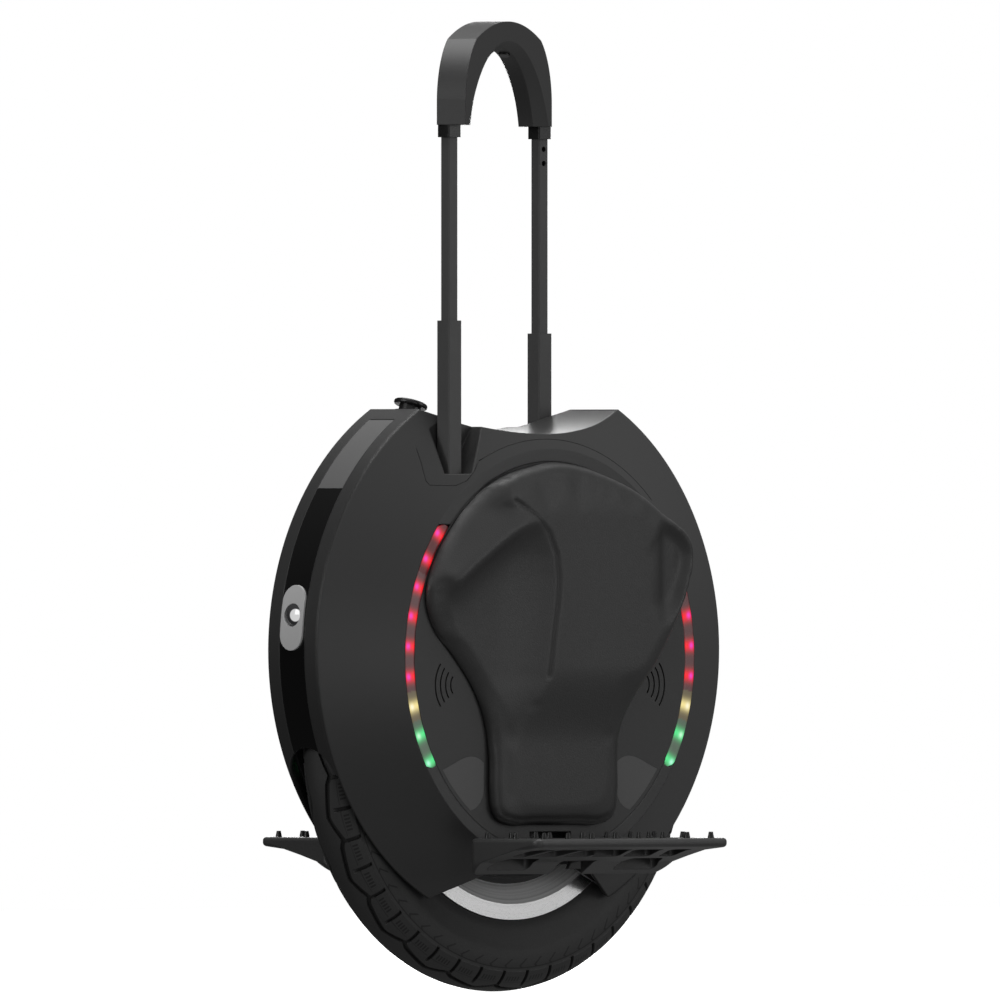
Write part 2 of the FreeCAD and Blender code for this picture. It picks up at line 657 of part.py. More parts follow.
def pad_outline(share, n):
    """The pad's outline of arcs and lines, drawn in about its middle."""
    def at(x, z):
        return Vec(x * share, -n, PAD_MIDDLE_Z + (z - PAD_MIDDLE_Z) * share)

    def curve(a, b, c):
        return Part.Arc(at(*a), at(*b), at(*c)).toShape()

    def line(a, b):
        return Part.makeLine(at(*a), at(*b))

    neck_low = PAD_LOW_Z + PAD_CORNER
    bend = PAD_CORNER * (1 - math.sqrt(0.5))
    waist_x = (PAD_WAIST_X + PAD_NECK_X) * 0.47
    waist_z = (PAD_WAIST_Z + PAD_NECK_Z) / 2
    right = [curve((PAD_SHOULDER_X, PAD_SHOULDER_Z), (PAD_WING_X, PAD_WING_Z), (PAD_UNDER_X, PAD_UNDER_Z)),
             line((PAD_UNDER_X, PAD_UNDER_Z), (PAD_WAIST_X, PAD_WAIST_Z)),
             curve((PAD_WAIST_X, PAD_WAIST_Z), (waist_x, waist_z), (PAD_NECK_X, PAD_NECK_Z)),
             line((PAD_NECK_X, PAD_NECK_Z), (PAD_NECK_X, neck_low)),
             curve((PAD_NECK_X, neck_low), (PAD_NECK_X - bend, PAD_LOW_Z + bend),
                   (PAD_NECK_X - PAD_CORNER, PAD_LOW_Z))]
    foot = [line((PAD_NECK_X - PAD_CORNER, PAD_LOW_Z), (PAD_CORNER - PAD_NECK_X, PAD_LOW_Z))]
    left = [curve((PAD_CORNER - PAD_NECK_X, PAD_LOW_Z), (bend - PAD_NECK_X, PAD_LOW_Z + bend),
                  (-PAD_NECK_X, neck_low)),
            line((-PAD_NECK_X, neck_low), (-PAD_NECK_X, PAD_NECK_Z)),
            curve((-PAD_NECK_X, PAD_NECK_Z), (-waist_x, waist_z), (-PAD_WAIST_X, PAD_WAIST_Z)),
            line((-PAD_WAIST_X, PAD_WAIST_Z), (-PAD_UNDER_X, PAD_UNDER_Z)),
            curve((-PAD_UNDER_X, PAD_UNDER_Z), (-PAD_WING_X, PAD_WING_Z), (-PAD_SHOULDER_X, PAD_SHOULDER_Z))]
    top = [curve((-PAD_SHOULDER_X, PAD_SHOULDER_Z), (0, PAD_TOP_Z), (PAD_SHOULDER_X, PAD_SHOULDER_Z))]
    return Part.Wire(right + foot + left + top)


def panel_outline(share, n):
    """Outline of the raised panel, which leaves the front of the pad hollow."""
    middle_x = PAD_SHOULDER_X * 0.38
    middle_z = (PAD_TOP_Z + PAD_NECK_Z) / 2

    def at(x, z):
        return Vec(middle_x + (x - middle_x) * share, -n, middle_z + (z - middle_z) * share)

    rise = PAD_TOP_Z - PAD_SHOULDER_Z
    top_z = PAD_TOP_Z - rise * 0.16
    low_z = PAD_NECK_Z + rise * 0.22
    crest_front = (-PAD_SHOULDER_X * 0.45, top_z - rise * 0.41)
    crest_back = (PAD_SHOULDER_X * 0.88, PAD_SHOULDER_Z)
    back = (PAD_WING_X * 0.88, PAD_WING_Z)
    waist = (PAD_WAIST_X * 0.88, PAD_WAIST_Z + rise * 0.1)
    back_low = (PAD_NECK_X * 0.8, low_z)
    front_low = (-PAD_NECK_X * 0.3, low_z)
    hollow = (-PAD_NECK_X * 0.18, PAD_WING_Z)
    edges = [Part.Arc(at(*crest_front), at(PAD_SHOULDER_X * 0.2, top_z), at(*crest_back)).toShape(),
             Part.makeLine(at(*crest_back), at(*back)),
             Part.makeLine(at(*back), at(*waist)),
             Part.makeLine(at(*waist), at(*back_low)),
             Part.makeLine(at(*back_low), at(*front_low)),
             Part.Arc(at(*front_low), at(*hollow), at(*crest_front)).toShape()]
    return Part.Wire(edges)


def wing_ridge(foot_n, top_n):
    """The ridge across the front wing, from a broad foot to a narrow crest."""
    rise = PAD_TOP_Z - PAD_SHOULDER_Z
    foot = [(-0.3 * PAD_SHOULDER_X, PAD_SHOULDER_Z + 0.35 * rise),
            (-0.78 * PAD_SHOULDER_X, PAD_SHOULDER_Z - 0.1 * rise),
            (-0.86 * PAD_WING_X, PAD_WING_Z), (-0.45 * PAD_SHOULDER_X, PAD_WING_Z)]
    crest = [(-0.33 * PAD_SHOULDER_X, PAD_SHOULDER_Z + 0.17 * rise),
             (-0.6 * PAD_SHOULDER_X, PAD_SHOULDER_Z - 0.2 * rise),
             (-0.79 * PAD_WING_X, PAD_WING_Z - 0.06 * rise),
             (-0.55 * PAD_SHOULDER_X, PAD_SHOULDER_Z - 0.4 * rise)]
    wires = []
    for points, n in ((foot, foot_n), (crest, top_n)):
        corners = [Vec(x, -n, z) for x, z in points]
        wires.append(Part.makePolygon(corners + corners[:1]))
    return Part.makeLoft(wires, True, True)


def pad():
    """Padded base with a crown and drawn-in edge, and the raised panel and wing ridge on it."""
    root_n = PLATEAU_N + FIT_GAP
    base = Part.makeLoft([pad_outline(PAD_ROOT_SHARE, root_n), pad_outline(1.0, PLATEAU_N + PAD_SWELL),
                          pad_outline(PAD_DECK_SHARE, PLATEAU_N + PAD_DECK)], True, True)
    panel = Part.makeLoft([panel_outline(1.0, PLATEAU_N + PAD_DECK - FIT_GAP),
                           panel_outline(PAD_PANEL_SHARE, PLATEAU_N + PAD_PANEL)], True, True)
    ridge = wing_ridge(PLATEAU_N + PAD_DECK - FIT_GAP, PLATEAU_N + PAD_PANEL)
    return joined([base, panel, ridge])


# Frame

def main_frame():
    """Two side plates joined by an arch over the tyre, with a deck for the control board."""
    plate = disc(FRAME_RADIUS, FRAME_PLATE_N, FRAME_OUT_N, 0, SHELL_Z)
    plate = plate.cut(disc(AXLE_RADIUS + AXLE_CLEARANCE, 0, FAR, 0, AXLE_Z))
    arch_in = TYRE_RADIUS + ARCH_GAP
    arch = disc(arch_in + ARCH_WALL, -FRAME_PLATE_N, FRAME_PLATE_N, 0, AXLE_Z)
    deck_z = AXLE_Z + arch_in + ARCH_WALL + DECK_HEIGHT
    deck = block(-DECK_HALF_LENGTH, DECK_HALF_LENGTH, -FRAME_PLATE_N, FRAME_PLATE_N, AXLE_Z, deck_z)
    arch = arch.fuse(deck).cut(disc(arch_in, -FAR, FAR, 0, AXLE_Z))
    arch = arch.common(block(-FAR, FAR, -FAR, FAR, AXLE_Z + ARCH_LIFT, FAR * 2))
    frame = joined([plate, arch, turned(plate)])
    return frame.cut(saddle(SHELL_WALL)).cut(below_skirt(FRAME_HEM))


def left_sleeve():
    """Square guide for the lower tube, closed below, with two brackets to the frame plate."""
    sleeve = square_bar(SLEEVE_SIZE, SLEEVE_LOW_Z - SLEEVE_FLOOR, NOTCH_LOW_Z - NOTCH_WALL)
    half = SLEEVE_SIZE / 2
    pieces = [sleeve]
    for z in (SLEEVE_LOW_Z + BRACKET_FROM_FLOOR, NOTCH_LOW_Z - BRACKET_FROM_TOP):
        pieces.append(block(-LEG_X - half, -LEG_X + half, FRAME_OUT_N, LEG_N, z, z + BRACKET_HEIGHT))
    return joined(pieces).cut(square_bar(SLEEVE_BORE, SLEEVE_LOW_Z, FAR * 2))


def left_battery():
    x0 = BATTERY_X - BATTERY_LENGTH / 2
    high_z = BATTERY_LOW_Z + BATTERY_HEIGHT
    pack = block(x0, x0 + BATTERY_LENGTH, FRAME_OUT_N, PLATEAU_N - BATTERY_SPARE, BATTERY_LOW_Z, high_z)
    edges = [e for e in pack.Edges if abs(e.tangentAt(e.FirstParameter).y) > 0.99]
    return pack.makeFillet(BATTERY_CORNER, edges)


def control_board():
    """Circuit board on four posts, with its larger components."""
    deck_z = AXLE_Z + TYRE_RADIUS + ARCH_GAP + ARCH_WALL + DECK_HEIGHT
    board_z = deck_z + BOARD_RISE
    top_z = board_z + BOARD_THICKNESS
    half = DECK_HALF_LENGTH - BOARD_END
    pieces = [block(-half, half, -BOARD_HALF_WIDTH, BOARD_HALF_WIDTH, board_z, top_z)]
    for x in (-1, 1):
        for n in (-1, 1):
            foot = Vec(x * (half - BOARD_END), n * (BOARD_HALF_WIDTH - BOARD_END), deck_z)
            pieces.append(Part.makeCylinder(POST_RADIUS, BOARD_RISE, foot, UP))
    pitch = 2 * half / (PART_COUNT + 1)
    side = PART_LENGTH / 2
    for i in range(PART_COUNT):
        x = (i + 1) * pitch - half
        pieces.append(block(x - side, x + side, -BOARD_HALF_WIDTH / 2 - side, -BOARD_HALF_WIDTH / 2 + side,
                            top_z, top_z + PART_HEIGHT))
        pieces.append(Part.makeCylinder(side, PART_HEIGHT, Vec(x, -BOARD_HALF_WIDTH / 2, top_z), UP))
    return joined(pieces)


# Axle, hub motor and wheel

def axle():
    end = HANGER_OUT_N
    core = bearing_start() - FIT_GAP
    profile = [(0, 0), (0, AXLE_CORE_RADIUS), (core, AXLE_CORE_RADIUS), (core, AXLE_RADIUS),
               (end, AXLE_RADIUS), (end, AXLE_THREAD_RADIUS), (end + AXLE_THREAD_LENGTH, AXLE_THREAD_RADIUS),
               (end + AXLE_THREAD_LENGTH, 0)]
    half = spun(profile)
    return joined([half, turned(half)])


def axle_nut():
    corner = NUT_ACROSS_CORNERS / 2
    points = [(corner * math.cos(math.radians(60 * i)), AXLE_Z + corner * math.sin(math.radians(60 * i)))
              for i in range(6)]
    nut = slab(points, HANGER_OUT_N, HANGER_OUT_N + NUT_HEIGHT)
    return nut.cut(disc(AXLE_THREAD_RADIUS, 0, FAR, 0, AXLE_Z))


def stator_core():
    outer = MOTOR_RADIUS - MAGNET_THICKNESS - AIR_GAP
    core = disc(outer, -STATOR_HALF_WIDTH, STATOR_HALF_WIDTH, 0, AXLE_Z)
    core = core.cut(disc(AXLE_CORE_RADIUS, -FAR, FAR, 0, AXLE_Z))
    slots = []
    for i in range(STATOR_SLOTS):
        slot = block(outer - SLOT_DEPTH, outer - STATOR_LIP, -FAR, FAR,
                     AXLE_Z - SLOT_WIDTH / 2, AXLE_Z + SLOT_WIDTH / 2)
        slot.rotate(Vec(0, 0, AXLE_Z), Vec(0, 1, 0), 360 * i / STATOR_SLOTS)
        slots.append(slot)
    return core.cut(slots)


def stator_windings():
    """End turns of the coils, one ring on each face of the stator."""
    outer = MOTOR_RADIUS - MAGNET_THICKNESS - AIR_GAP - STATOR_LIP
    inner = outer - SLOT_DEPTH + STATOR_LIP
    n0 = STATOR_HALF_WIDTH
    n1 = n0 + WINDING_HEIGHT
    ring = spun([(n0, inner), (n0, outer), (n1, outer - 2), (n1, inner + 2)])
    return group([ring, turned(ring)])


def rotor_magnets():
    inner = MOTOR_RADIUS - MAGNET_THICKNESS
    half = math.radians(180 * MAGNET_SHARE / MAGNET_COUNT)
    ring = disc(MOTOR_RADIUS, -STATOR_HALF_WIDTH, STATOR_HALF_WIDTH, 0, AXLE_Z)
    ring = ring.cut(disc(inner, -FAR, FAR, 0, AXLE_Z))
    reach = 2 * MOTOR_RADIUS
    wedge = slab([(0, AXLE_Z), (reach * math.cos(half), AXLE_Z - reach * math.sin(half)),
                  (reach * math.cos(half), AXLE_Z + reach * math.sin(half))], -FAR, FAR)
    magnet = ring.common(wedge)
    magnets = []
    for i in range(MAGNET_COUNT):
        one = magnet.copy()
        one.rotate(Vec(0, 0, AXLE_Z), Vec(0, 1, 0), 360 * (i + 0.5) / MAGNET_COUNT)
        magnets.append(one)
    return group(magnets)


def rim_profile():
    """Half section of the rim from the middle plane, as (n, radius) points."""
    well = RIM_RADIUS - RIM_WELL_DEPTH
    lip = RIM_HALF_WIDTH - RIM_LIP
    return [(lip - BEAD_SEAT, well), (lip - BEAD_TAPER, well + RIM_WELL_DEPTH / 2), (lip, RIM_RADIUS),
            (RIM_HALF_WIDTH, RIM_RADIUS), (RIM_HALF_WIDTH, RIM_RADIUS - RIM_FACE),
            (MOTOR_HALF_WIDTH, MOTOR_RADIUS + COVER_SEAT), (MOTOR_HALF_WIDTH, MOTOR_RADIUS)]


def rim():
    half = rim_profile()
    other = [(-n, radius) for n, radius in reversed(half)]
    return spun(half + other).cut(valve_bar(VALVE_RADIUS))


def tyre_core():
    """Radius of the circle that the middle of the tyre's section runs on."""
    return TYRE_RADIUS - TYRE_SECTION


def tyre():
    """Round carcass on the rim's bead seats, open towards the rim."""
    core = tyre_core()
    side_n = TYRE_SECTION * math.cos(math.radians(30))
    side_r = core - TYRE_SECTION * math.sin(math.radians(30))
    well = RIM_RADIUS - RIM_WELL_DEPTH + BEAD_GAP
    lip = RIM_HALF_WIDTH - RIM_LIP - BEAD_GAP
    bead = [(lip + BEAD_HEEL, RIM_RADIUS + BEAD_HEEL), (lip, RIM_RADIUS),
            (lip - BEAD_TAPER, well + RIM_WELL_DEPTH / 2), (lip - BEAD_SEAT, well)]

    def at(n, radius):
        return Vec(0, -n, AXLE_Z + radius)

    crown = Part.Arc(at(-side_n, side_r), at(0, TYRE_RADIUS), at(side_n, side_r)).toShape()
    outline = [(side_n, side_r)] + bead + [(-n, r) for n, r in reversed(bead)] + [(-side_n, side_r)]
    foot = Part.makePolygon([at(*p) for p in outline])
    face = Part.Face(Part.Wire([crown] + foot.Edges))
    solid = face.revolve(Vec(0, 0, AXLE_Z), Vec(0, 1, 0), 360)
    hollow = Part.makeTorus(core, TYRE_SECTION - TYRE_WALL, Vec(0, 0, AXLE_Z), Vec(0, 1, 0))
    low = well - BEAD_HEEL
    mouth = spun([(-BEAD_HALF_OPENING, low), (-BEAD_HALF_OPENING, core), (BEAD_HALF_OPENING, core),
                  (BEAD_HALF_OPENING, low)])
    return solid.cut(hollow).cut(mouth)


def inner_tube():
    radius = TYRE_SECTION - TYRE_WALL - TUBE_GAP
    skin = Part.makeTorus(tyre_core(), radius, Vec(0, 0, AXLE_Z), Vec(0, 1, 0))
    air = Part.makeTorus(tyre_core(), radius - TUBE_WALL, Vec(0, 0, AXLE_Z), Vec(0, 1, 0))
    return skin.cut(air)


def valve_bar(radius):
    """A bar along the valve, from the tube out through the sloping side of the rim."""
    start = Vec(0, VALVE_OFFSET, AXLE_Z + tyre_core() - TYRE_SECTION + TYRE_WALL + TUBE_GAP + TUBE_WALL)
    slope = (RIM_HALF_WIDTH - MOTOR_HALF_WIDTH) / (RIM_RADIUS - RIM_FACE - MOTOR_RADIUS - COVER_SEAT)
    mouth = Vec(0, -MOTOR_HALF_WIDTH - slope * VALVE_MOUTH, AXLE_Z + MOTOR_RADIUS + COVER_SEAT + VALVE_MOUTH)
    along = mouth - start
    return Part.makeCylinder(radius, along.Length + VALVE_PROUD, start, along)


def tyre_valve():
    tube = Part.makeTorus(tyre_core(), TYRE_SECTION - TYRE_WALL - TUBE_GAP, Vec(0, 0, AXLE_Z), Vec(0, 1, 0))
    return valve_bar(VALVE_RADIUS).cut(tube)


def motor_cover():
    """Dished cover with a boss that holds the bearing."""
    n0 = MOTOR_HALF_WIDTH
    n1 = n0 + COVER_THICKNESS
    rim_r = MOTOR_RADIUS + COVER_SEAT - FIT_GAP
    end = bearing_start() + BEARING_WIDTH
    bore = BEARING_RADIUS + BEARING_FIT
    return spun([(n0, bore), (n0, rim_r), (n1 - COVER_EDGE / 4, rim_r), (n1, rim_r - COVER_EDGE),
                 (n1, COVER_BOSS_RADIUS + COVER_DISH),
                 (end, COVER_BOSS_RADIUS), (end, bore)])


def bearing_start():
    """Inner face of the bearing."""
    return MOTOR_HALF_WIDTH + 2


def wheel_bearing():
    n0 = bearing_start()
    ring = disc(BEARING_RADIUS, n0, n0 + BEARING_WIDTH, 0, AXLE_Z)
    return ring.cut(disc(AXLE_RADIUS + BEARING_FIT, 0, FAR, 0, AXLE_Z))


def cover_screws():
    heads = []
    n0 = MOTOR_HALF_WIDTH + COVER_THICKNESS
    radius = MOTOR_RADIUS - COVER_SEAT
    for i in range(COVER_SCREWS):
        angle = math.radians(360 * (i + 0.5) / COVER_SCREWS)
        head = disc(SCREW_HEAD_RADIUS, n0, n0 + SCREW_HEAD_HEIGHT, radius * math.cos(angle),
                    AXLE_Z + radius * math.sin(angle))
        heads.append(head)
    return group(heads + [turned(h) for h in heads])


# Pedals

def hinge_bar(radius, half_length):
    """A bar along the left pedal's hinge."""
    return Part.makeCylinder(radius, 2 * half_length, Vec(-half_length, -HINGE_N, HINGE_Z), Vec(1, 0, 0))


def left_hanger():
    """Clamp on the axle, bolted to the frame plate, with an arm out to the hinge lug."""
    low = HINGE_Z - HANGER_ARM_DROP
    top = AXLE_Z + HANGER_TOP
    plate = block(-HANGER_HALF_WIDTH, HANGER_HALF_WIDTH, FRAME_OUT_N, HANGER_OUT_N, low, top)
    arm = block(-LUG_HALF_WIDTH, LUG_HALF_WIDTH, FRAME_OUT_N, HINGE_N, low,
                low + HANGER_ARM_HEIGHT)
    lug = hinge_bar(LUG_RADIUS, LUG_HALF_WIDTH)
    hanger = joined([plate, arm, lug])
    for z in hanger_bolt_heights():
        for x in (-HANGER_BOLT_PITCH, HANGER_BOLT_PITCH):
            hanger = hanger.cut(disc(HANGER_BOLT_RADIUS, 0, FAR, x, z))
    return hanger.cut(disc(AXLE_RADIUS, 0, FAR, 0, AXLE_Z)).cut(hinge_bar(PIN_RADIUS, FAR))


def hanger_bolt_heights():
    return [AXLE_Z - HANGER_TOP - HANGER_BOLT_EDGE, AXLE_Z + HANGER_TOP - HANGER_BOLT_EDGE]


def left_hanger_bolts():
    bolts = []
    for z in hanger_bolt_heights():
        for x in (-HANGER_BOLT_PITCH, HANGER_BOLT_PITCH):
            shank = disc(HANGER_BOLT_RADIUS, FRAME_OUT_N, HANGER_OUT_N, x, z)
            head = disc(HANGER_BOLT_HEAD, HANGER_OUT_N, HANGER_OUT_N + HANGER_BOLT_HEAD_HEIGHT, x, z)
            bolts.append(joined([shank, head]))
    return bolts


def pedal_pin():
    return hinge_bar(PIN_RADIUS, PIN_HALF_LENGTH)


def pedal_section():
    """Deck above a hollow-curved underside, as (n, z) points from the inner top corner."""
    low = PEDAL_TOP_Z - PEDAL_DEEP
    drop = PEDAL_DEEP - PEDAL_LIP
    span = PEDAL_OUT_N - PEDAL_IN_N
    return [(PEDAL_IN_N, PEDAL_TOP_Z), (PEDAL_OUT_N, PEDAL_TOP_Z), (PEDAL_OUT_N, PEDAL_TOP_Z - PEDAL_LIP),
            (PEDAL_IN_N + 0.62 * span, low + 0.86 * drop), (PEDAL_IN_N + 0.42 * span, low + 0.68 * drop),
            (PEDAL_IN_N + 0.18 * span, low + 0.44 * drop), (PEDAL_IN_N, low)]


def pedal_pockets():
    """Outlines of the hollows under the deck, in x and n, with slanting ribs between them."""
    end = PEDAL_HALF_LENGTH - PEDAL_CORNER / 2
    inner = PEDAL_IN_N + PEDAL_RIB
    split = HINGE_N + PIN_RADIUS + 2 * PEDAL_RIB
    outer = PEDAL_OUT_N - PEDAL_CORNER
    barrel = PIN_HALF_LENGTH + PEDAL_RIB
    pockets = []
    for side in (-1, 1):
        pockets.append([(side * barrel, inner), (side * end, inner), (side * (end - POCKET_LEAN), split),
                        (side * (barrel + POCKET_LEAN / 2), split)])
        pockets.append([(side * (end - PEDAL_RIB), split + PEDAL_RIB), (side * (end - POCKET_LEAN), outer),
                        (side * (end - 3 * POCKET_LEAN), outer),
                        (side * (end - 2 * POCKET_LEAN), split + PEDAL_RIB)])
    start = 2 * POCKET_LEAN + PEDAL_RIB - end
    step = -2 * start / POCKET_COUNT
    for i in range(POCKET_COUNT):
        x0 = start + i * step
        x1 = x0 + step - PEDAL_RIB
        lean = POCKET_LEAN if i < POCKET_COUNT / 2 else -POCKET_LEAN
        pockets.append([(x0, split + PEDAL_RIB), (x1, split + PEDAL_RIB),
                        (x1 + lean, outer), (x0 + lean, outer)])
    return pockets


def pedal():
    """Left pedal: rounded deck with hollows under it, a bore for the pin and room for the lug."""
    corners = [Vec(-PEDAL_HALF_LENGTH, -n, z) for n, z in pedal_section()]
    body = Part.Face(Part.makePolygon(corners + corners[:1])).extrude(Vec(2 * PEDAL_HALF_LENGTH, 0, 0))
    upright = [e for e in body.Edges if abs(e.tangentAt(e.FirstParameter).z) > 0.99]
    body = body.makeFillet(PEDAL_CORNER / 3, upright)
    tip = [e for e in body.Edges if abs(e.CenterOfMass.y + PEDAL_OUT_N) < 0.01
           and abs(e.tangentAt(e.FirstParameter).x) > 0.99]
    body = body.makeFillet(PEDAL_TIP_ROUND, tip)
    low = PEDAL_TOP_Z - PEDAL_DEEP
    envelope = block(-PEDAL_HALF_LENGTH, PEDAL_HALF_LENGTH, 0, FAR, low, FAR)
    low_ends = [e for e in envelope.Edges if abs(e.tangentAt(e.FirstParameter).y) > 0.99
                and e.CenterOfMass.z < low + FIT_GAP]
    body = body.common(envelope.makeFillet(PEDAL_END_ROUND, low_ends))
    roof = PEDAL_TOP_Z - PEDAL_PLATE
    for outline in pedal_pockets():
        base = [Vec(x, -n, 0) for x, n in outline]
        tool = Part.Face(Part.makePolygon(base + base[:1])).extrude(Vec(0, 0, roof))
        rounded = [e for e in tool.Edges if abs(e.tangentAt(e.FirstParameter).z) > 0.99]
        body = body.cut(tool.makeFillet(POCKET_ROUND, rounded))
    half = LUG_HALF_WIDTH + LUG_GAP
    room = block(-half, half, 0, HINGE_N + LUG_RADIUS + LUG_GAP, 0, FAR)
    return body.cut(room).cut(hinge_bar(PIN_RADIUS + PIN_FIT, PIN_HALF_LENGTH + FIT_GAP))


def pedal_studs():
    """Cone-headed grip studs in three rows on the deck."""
    studs = []
    end = PEDAL_HALF_LENGTH - STUD_END
    rows = [(PEDAL_OUT_N - STUD_EDGE, 8), ((PEDAL_IN_N + PEDAL_OUT_N) / 2, 6), (PEDAL_IN_N + STUD_EDGE, 8)]
    for n, count in rows:
        for i in range(count):
            x = -end + 2 * end * i / (count - 1)
            if abs(x) > LUG_HALF_WIDTH + STUD_EDGE or n > HINGE_N + LUG_RADIUS + STUD_EDGE:
                foot = Vec(x, -n, PEDAL_TOP_Z)
                studs.append(Part.makeCone(STUD_RADIUS, STUD_TIP_RADIUS, STUD_HEIGHT, foot, UP))
    return group(studs)


# Trolley handle

def lower_tube():
    low = LOWER_TOP_Z - LOWER_LENGTH
    tube = square_bar(LOWER_TUBE, low, LOWER_TOP_Z, TUBE_CHAMFER)
    return tube.cut(square_bar(LOWER_TUBE - 2 * LOWER_TUBE_WALL, low, LOWER_TOP_Z))


def upper_tube():
    top = COLLAR_TOP_Z + TUBE_IN_GRIP
    tube = square_bar(UPPER_TUBE, UPPER_LOW_Z, top, TUBE_CHAMFER)
    return tube.cut(square_bar(UPPER_TUBE - 2 * UPPER_TUBE_WALL, UPPER_LOW_Z, top))


def right_upper_tube():
    """The other leg, with two latch holes in the wall that faces the left side."""
    tube = turned(upper_tube())
    for i in range(2):
        z = COLLAR_LOW_Z - PIN_HOLE_DROP + i * PIN_HOLE_PITCH
        tube = tube.cut(disc(PIN_HOLE_RADIUS, -LEG_N, FAR, LEG_X, z))
    return tube


def collar():
    ring = square_bar(COLLAR_SIZE, COLLAR_LOW_Z, COLLAR_TOP_Z, TUBE_CHAMFER)
    return ring.cut(square_bar(UPPER_TUBE, COLLAR_LOW_Z, COLLAR_TOP_Z, TUBE_CHAMFER))


def on_diagonal(shape):
    """Turn a piece modelled along X onto the grip's line, a little past the diagonal of the legs."""
    shape.rotate(Vec(0, 0, 0), UP, LEG_ANGLE + GRIP_TURN)
    return shape


def grip_inner_centre():
    return GRIP_INNER_TOP_Z - GRIP_INNER_RADIUS


def grip_button_bar(radius, from_surface, to_surface):
    """A bar square to the grip's inner curve at the release button; positive is into the hand."""
    centre_z = grip_inner_centre()
    rise = math.sqrt(GRIP_INNER_RADIUS ** 2 - BUTTON_E ** 2)
    inwards = Vec(-BUTTON_E, 0, -rise).normalize()
    start = Vec(BUTTON_E, 0, centre_z + rise) + inwards * from_surface
    bar = Part.makeCylinder(radius, to_surface - from_surface, start, inwards)
    return on_diagonal(bar)


def grip_hollow(side, foot_z, foot_in):
    """The slanting cut along one inner edge of the arch, wider at the feet than at the top."""
    foot_out = GRIP_HALF_SPAN - GRIP_SIDE_FACE
    wires = []
    for share in (-GRIP_HOLLOW_SPARE, 1 + GRIP_HOLLOW_SPARE):
        reach = foot_in + share * (foot_out - foot_in)
        y = side * (GRIP_WIDTH / 2 - (1 - share) * GRIP_HOLLOW_WIDTH)
        left = Vec(-reach, y, foot_z - FIT_GAP)
        right = Vec(reach, y, foot_z - FIT_GAP)
        top = Vec(0, y, GRIP_INNER_TOP_Z + share * GRIP_HOLLOW_TOP)
        wires.append(Part.Wire([Part.Arc(left, top, right).toShape(), Part.makeLine(right, left)]))
    return Part.makeLoft(wires, True, True)


def grip():
    """Arch between the legs: broad and flat outside, drawn in towards the hand."""
    foot_z = COLLAR_TOP_Z
    side_z = foot_z + GRIP_SIDE_RISE
    corner_z = GRIP_TOP_Z - GRIP_CORNER_DROP
    corner_e = GRIP_HALF_SPAN - GRIP_CORNER
    bulge = (corner_e + 0.6 * GRIP_CORNER, corner_z - 0.33 * (corner_z - side_z))
    foot_in = math.sqrt(GRIP_INNER_RADIUS ** 2 - (foot_z - grip_inner_centre()) ** 2)
    y = GRIP_WIDTH / 2

    def at(e, z):
        return Vec(e, y, z)

    edges = [Part.makeLine(at(-GRIP_HALF_SPAN, foot_z), at(-GRIP_HALF_SPAN, side_z)),
             Part.Arc(at(-GRIP_HALF_SPAN, side_z), at(-bulge[0], bulge[1]),
                      at(-corner_e, corner_z)).toShape(),
             Part.Arc(at(-corner_e, corner_z), at(0, GRIP_TOP_Z), at(corner_e, corner_z)).toShape(),
             Part.Arc(at(corner_e, corner_z), at(*bulge), at(GRIP_HALF_SPAN, side_z)).toShape(),
             Part.makeLine(at(GRIP_HALF_SPAN, side_z), at(GRIP_HALF_SPAN, foot_z)),
             Part.makeLine(at(GRIP_HALF_SPAN, foot_z), at(foot_in, foot_z)),
             Part.Arc(at(foot_in, foot_z), at(0, GRIP_INNER_TOP_Z), at(-foot_in, foot_z)).toShape(),
             Part.makeLine(at(-foot_in, foot_z), at(-GRIP_HALF_SPAN, foot_z))]
    arch = Part.Face(Part.Wire(edges)).extrude(Vec(0, -GRIP_WIDTH, 0))
    for side in (-1, 1):
        arch = arch.cut(grip_hollow(side, foot_z, foot_in))
    arch = on_diagonal(arch)
    sockets = square_bar(UPPER_TUBE, foot_z, foot_z + TUBE_IN_GRIP, TUBE_CHAMFER)
    pocket = grip_button_bar(BUTTON_RADIUS + FIT_GAP, -BUTTON_DEPTH - BUTTON_TRAVEL - FIT_GAP, BUTTON_DEPTH)
    return arch.cut(sockets).cut(turned(sockets)).cut(pocket)


def release_button():
    return grip_button_bar(BUTTON_RADIUS, -BUTTON_DEPTH, BUTTON_PROUD)


# Power button

def power_bar(radius, low, high):
    """A bar square to the saddle at the power button, measured from the saddle's surface."""
    centre = Vec(0, 0, SADDLE_Z + SADDLE_RADIUS)
    foot = Vec(POWER_X, 0, saddle_height(POWER_X))
    out = (centre - foot).normalize()
    return Part.makeCylinder(radius, high - low, foot + out * low, out)


def power_switch():
    """Fixed body of the switch: a collar on the saddle and a barrel below it."""
    deep = -POWER_STEM_LENGTH - POWER_TRAVEL - POWER_END_GAP
    collar_top = POWER_COLLAR_LIFT + POWER_COLLAR_HEIGHT
    ring = power_bar(POWER_COLLAR_RADIUS, POWER_COLLAR_LIFT, collar_top)
    barrel = power_bar(POWER_STEM_RADIUS + POWER_BARREL_WALL, deep - POWER_FLOOR, POWER_COLLAR_LIFT)
    room = power_bar(POWER_STEM_RADIUS + FIT_GAP, deep, collar_top)
    return joined([ring, barrel]).cut(room)


def power_button():
    """Mushroom cap on its stem."""
    cap = power_bar(POWER_RADIUS, POWER_RISE, POWER_RISE + POWER_CAP)
    rims = [e for e in cap.Edges if isinstance(e.Curve, Part.Circle)]
    cap = cap.makeFillet(POWER_CAP * 0.4, rims)
    stem = power_bar(POWER_STEM_RADIUS, -POWER_STEM_LENGTH, POWER_RISE + POWER_CAP / 2)
    return joined([cap, stem])


